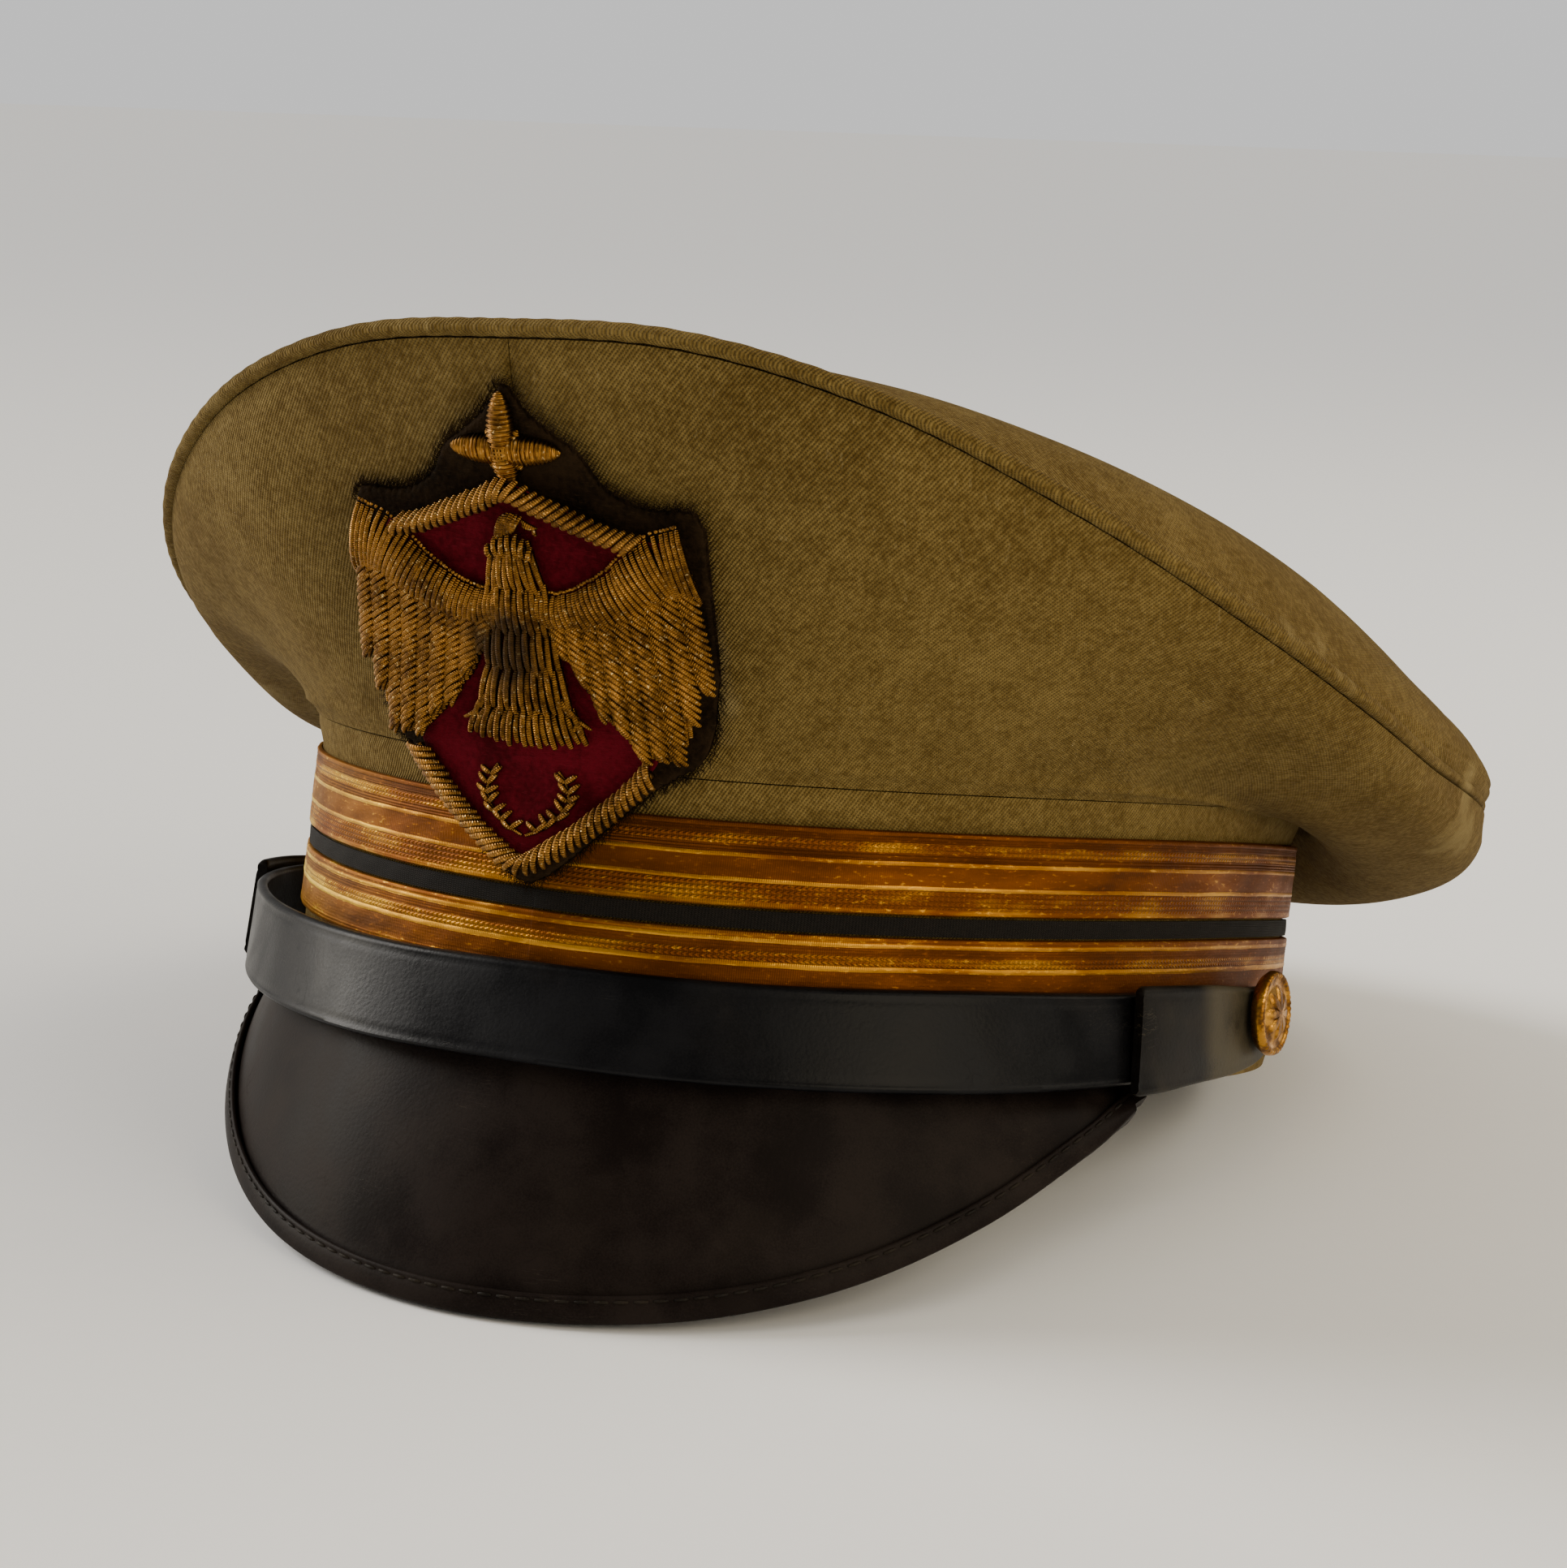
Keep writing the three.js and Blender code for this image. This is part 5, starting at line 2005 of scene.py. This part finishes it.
    def build_arm(self, threads: Threads, s: int, arm_x: Array, arm_z: Array) -> None:
        """Makes the satin stitches across a wing's arm and the beads along its upper edge.

        Args:
            threads: Mesh that they are added to.
            s: 1 on the wearer's left and -1 on the right.
            arm_x: Distances of the arm's middle line from the badge's.
            arm_z: Its heights.
        """
        steps = np.linspace(0, 1, 31)
        knots = np.linspace(0, 1, len(arm_x))
        x, z = np.interp(steps, knots, arm_x), np.interp(steps, knots, arm_z)
        dx, dz = np.gradient(x), np.gradient(z)
        size = np.hypot(dx, dz)
        nx, nz = -dz / size, dx / size
        wide = 1.5 + 2.7 * steps**1.3
        high_x, high_z = x + nx * wide - 0.5, z + nz * wide + 0.9
        low_x, low_z = x - nx * wide + 0.5, z - nz * wide - 0.6
        self.lay(threads, stitches(s * high_x, high_z, s * low_x, low_z), 0.52, 4.4, 1.2, 0.75)
        beads = np.linspace(0, 1, 44)
        bead_x = s * np.interp(beads, steps, x + nx * (wide + 0.55) - 0.5)
        bead_z = np.interp(beads, steps, z + nz * (wide + 0.55) + 0.9)
        self.lay(threads, stitches(bead_x - 0.12, bead_z, bead_x + 0.12, bead_z + 0.08), 0.3, 4.3, 0.1, 0.75)

    def build_body(self) -> None:
        """Makes the body, the tail, the turned head and the claws."""
        threads = Threads()
        spread = (2.6, 4.6, 5.3, 5.8, 7.4, 9.6)
        for part, count in enumerate((9, 11, 11, 13, 17)):
            share = np.linspace(-1, 1, count)
            odd = np.arange(count) % 2
            top = 75.4 - 6.1 * part - 0.9 * odd
            low = np.maximum(top - 7.0, 44.4 + 1.2 * share**2 + 0.5 * odd)
            for f, second, z, to_z in zip(share, odd, top, low):
                base = self.body_off - 0.55 * f * f - (0.35 if part == 4 else 0) - 0.12 * second
                ends = [[f * spread[part], z, f * spread[part + 1], to_z]]
                self.lay(threads, ends, 0.56, base, 0.8 - 0.3 * f * f, 0.75, 0.1 * f)
        for k in range(-3, 4):
            ends = [[k * 1.15, 76.5 - 0.22 * k * k, k * 1.05, 73.0]]
            self.lay(threads, ends, 0.5, self.body_off, 0.8, 0.6)
        i = np.arange(7)
        head = stitches(0.45 * i - 1.9, 75.4 + 0.25 * i, 0.5 * i - 0.7, 79.6 - 0.06 * (i - 3) ** 2)
        self.lay(threads, head, 0.42, self.body_off + 0.1, 0.8, 0.6)
        beak = [[2.3, 78.6, 4.7, 77.5], [2.3, 77.9, 4.6, 77.3], [4.3, 77.7, 4.5, 76.4]]
        self.lay(threads, beak, 0.36, self.body_off, 0.4, 0.4)
        self.lay(threads, [[1.35, 78.25, 1.5, 78.3]], 0.34, self.body_off + 0.95, 0.1, 0.8)
        for s in (-1, 1):
            for turn in (-0.4, 0.3, 1.0):
                x, z, reach = s * 8.3, 49.4, 2.6
                ends = [[x, z, x + s * reach * math.sin(turn), z - reach * math.cos(turn)]]
                self.lay(threads, ends, 0.34, 4.2, 0.7, 0.35, 0.3)
            i = np.arange(3)
            legs = stitches(s * (5.0 + 0.5 * i), 53.2 - 0.3 * i, s * (7.6 + 0.45 * i), 49.6 - 0.1 * i)
            self.lay(threads, legs, 0.42, 4.3, 0.6, 0.6)
        dress(threads.build("badge_eagle_stitches"), WIRE, "gold_thread", "badge_eagle_body")

    def build_star(self) -> None:
        """Makes the star: padded rays bound round with thread."""
        threads = Threads(10)
        t = np.linspace(0, 1, 64)
        for k, reach in enumerate(self.rays):
            turn = k * math.pi / 4 + math.pi / 2
            x = reach * t * math.cos(turn)
            z = self.star_middle + reach * t * math.sin(turn)
            swell = (1.2 if k % 2 else 2.1) * (1 - t**2.8) ** 0.6 + 0.14
            coil = 1 + 0.1 * np.sin(reach * t / 0.62 * 2 * math.pi)
            fronts = normal_of(badge_face, x, z, 0.5, 0.5)
            path = badge_point(x, z, 2.5 + 0.35 * (1 - t))
            threads.add(path[None], (swell * coil)[None], fronts[None], 0.85)
        dress(threads.build("badge_star_rays"), WIRE, "gold_thread", "badge_star")

    def build_sprig(self) -> None:
        """Makes two small laurel twigs in the lower field."""
        threads = Threads()
        t = np.linspace(0, 1, 9)
        for s in (-1, 1):
            x, z = s * (0.3 + 6.4 * np.sin(2.3 * t)), 30.4 + 10.5 * t**1.3
            self.lay(threads, stitches(x[:-1], z[:-1], x[1:], z[1:]), 0.28, 3.45, 0.08, 0.9)
            for i in range(1, 8):
                lean = 0.9 + 0.25 * (i % 2)
                for way in (-s, s):
                    tip = x[i] + way * 1.9 * math.sin(lean), z[i] + 1.9 * math.cos(lean) + 0.5
                    self.lay(threads, [[x[i], z[i], *tip]], 0.5, 3.5, 0.35, 0.4)
        dress(threads.build("badge_laurel"), ROPE_WIRE, "gold_thread")

    def build_fuzz(self) -> None:
        """Makes the loose fibres round the felt's edge."""
        rng = self.hand
        threads = Threads(3)
        line = np.linspace(0.05 - self.back_half, self.back_half - 0.05, 1500)
        low = column(BACKING_ROWS, "across", "low", np.abs(line)) + 0.1
        high = column(BACKING_ROWS, "across", "high", np.abs(line)) - 0.1
        edge_x = np.concatenate([line, line[::-1]])
        edge_z = np.concatenate([high, low[::-1]])
        run = run_along(np.stack([edge_x, edge_z], -1))
        at = rng.uniform(0, run[-1], self.fibres)
        turn = rng.uniform(-1.3, 1.3, self.fibres)
        size = rng.uniform(0.5, 2.0, self.fibres)
        x, z = np.interp(at, run, edge_x), np.interp(at, run, edge_z)
        rise = np.where(at < run[len(line)], 1, -1) * size * np.cos(turn)
        ends = stitches(x, z, x + size * np.sin(turn), z + rise)
        self.lay(threads, ends, 0.045, 1.15, 0.35, 0.5, 0.3, steps=4)
        dress(threads.build("badge_felt_fibres"), BACK_FELT, "brown_felt")


@dataclass
class Studio:
    """The floor, the lights and the camera.

    Attributes:
        camera_at: Where the camera stands in the cap's own frame.
        azimuth: How far round it looks from.
        elevation: How far down it looks, and the cap's tilt when the camera was fitted.
        lens: Its lens.
        floor_half: Half the floor's width in metres.
    """

    camera_at: tuple[float, float, float] = (236.385, -534.133, 54.185)
    azimuth: float = math.radians(25.17)
    elevation: float = math.radians(15.435)
    lens: float = 75.4
    floor_half: float = 30.0

    def build(self) -> None:
        """Makes them all."""
        self.build_camera()
        self.build_floor()
        self.build_world()
        self.lamp("key_light", "SUN", (-0.86, -0.04, 0.5), 3.0, (1.0, 0.96, 0.9), angle=math.radians(30))
        self.lamp("low_light", "AREA", (-2.16, -0.4, 0.32), 16.6, (1.0, 0.93, 0.8), size=0.8)
        self.lamp("fill_light", "AREA", (1.3, -0.45, 0.6), 12.0, (1.0, 0.87, 0.64), size=1.0)
        self.lamp("top_light", "AREA", (0.8, 0.6, 1.1), 10.0, (1.0, 0.9, 0.72), size=1.0)

    def build_camera(self) -> None:
        """Makes the camera, set to the cap as the photo's was."""
        ca, sa = math.cos(self.azimuth), math.sin(self.azimuth)
        ce, se = math.cos(self.elevation), math.sin(self.elevation)
        turn = Matrix.Rotation(self.elevation - POSE.tilt, 3, "X")
        right = turn @ Vector((ca, sa, 0))
        up = turn @ Vector((-sa * se, ca * se, ce))
        back = turn @ Vector((sa * ce, -ca * ce, se))
        data = bpy.data.cameras.new("photo_camera")
        data.lens = self.lens
        data.sensor_width = 36
        data.clip_end = 50
        camera = bpy.data.objects.new("photo_camera", data)
        bpy.context.scene.collection.objects.link(camera)
        matrix = Matrix((right, up, back)).transposed().to_4x4()
        matrix.translation = Vector(POSE.place(np.array(self.camera_at)).tolist())
        camera.matrix_world = matrix
        bpy.context.scene.camera = camera

    def build_floor(self) -> None:
        """Makes the pale floor."""
        h = self.floor_half
        mesh = bpy.data.meshes.new("studio_floor")
        mesh.from_pydata([(-h, -h, 0), (h, -h, 0), (h, h, 0), (-h, h, 0)], [], [(0, 1, 2, 3)])
        mesh.uv_layers.new(name=PLACE)
        floor = bpy.data.objects.new("studio_floor", mesh)
        bpy.context.scene.collection.objects.link(floor)
        floor.data.materials.append(PAPER.build())

    @staticmethod
    def build_world() -> None:
        """Makes the room: soft light, seen as a backdrop as pale as the floor."""
        world = bpy.data.worlds.new("studio_room")
        bpy.context.scene.world = world
        world.use_nodes = True
        graph = Graph(world.node_tree)
        lit = graph.tree.nodes["Background"]
        graph.put(lit.inputs["Color"], (1.0, 0.97, 0.92))
        graph.put(lit.inputs["Strength"], 0.36)
        seen = graph.add("Background", (1.0, 1.0, 1.0), 0.77)
        watched = Ports(graph, graph.add("LightPath"))["Is Camera Ray"]
        pair = [Signal(graph, node.outputs[0]) for node in (lit, seen)]
        shown = Signal(graph, graph.add("MixShader", watched, *pair).outputs[0])
        graph.put(graph.tree.nodes["World Output"].inputs["Surface"], shown)

    @staticmethod
    def lamp(name: str, kind: str, at: Rgb, power: float, colour: Rgb, **settings: float) -> None:
        """Makes a light that faces the cap.

        Args:
            name: Its name.
            kind: SUN, which shines from the direction of at, or AREA, which stands there.
            at: Where it is in metres.
            power: Its strength.
            colour: Its colour.
            settings: Its size, or a sun's angle.
        """
        data = bpy.data.lights.new(name, kind)
        data.energy = power
        data.color = colour
        for key, value in settings.items():
            setattr(data, key, value)
        lamp = bpy.data.objects.new(name, data)
        facing = Vector(at)
        if kind == "AREA":
            lamp.location = at
            facing -= Vector((0, 0, 0.06))
        lamp.rotation_euler = facing.to_track_quat("Z", "Y").to_euler()
        bpy.context.scene.collection.objects.link(lamp)


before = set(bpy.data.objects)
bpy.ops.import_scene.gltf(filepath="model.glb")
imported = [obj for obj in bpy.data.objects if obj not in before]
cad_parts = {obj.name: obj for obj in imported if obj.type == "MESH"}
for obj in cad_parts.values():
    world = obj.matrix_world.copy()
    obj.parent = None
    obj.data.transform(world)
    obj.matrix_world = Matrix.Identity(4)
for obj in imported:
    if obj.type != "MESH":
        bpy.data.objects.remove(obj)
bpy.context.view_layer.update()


def main() -> None:
    """Builds the cap and the studio, and notes the sizes."""
    logging.basicConfig(level=logging.INFO, format="%(name)s: %(message)s")
    Crown().build()
    Band().build()
    Visor().build()
    ChinStrap().build()
    Badge().build()
    Studio().build()


if __name__ == "__main__":
    main()
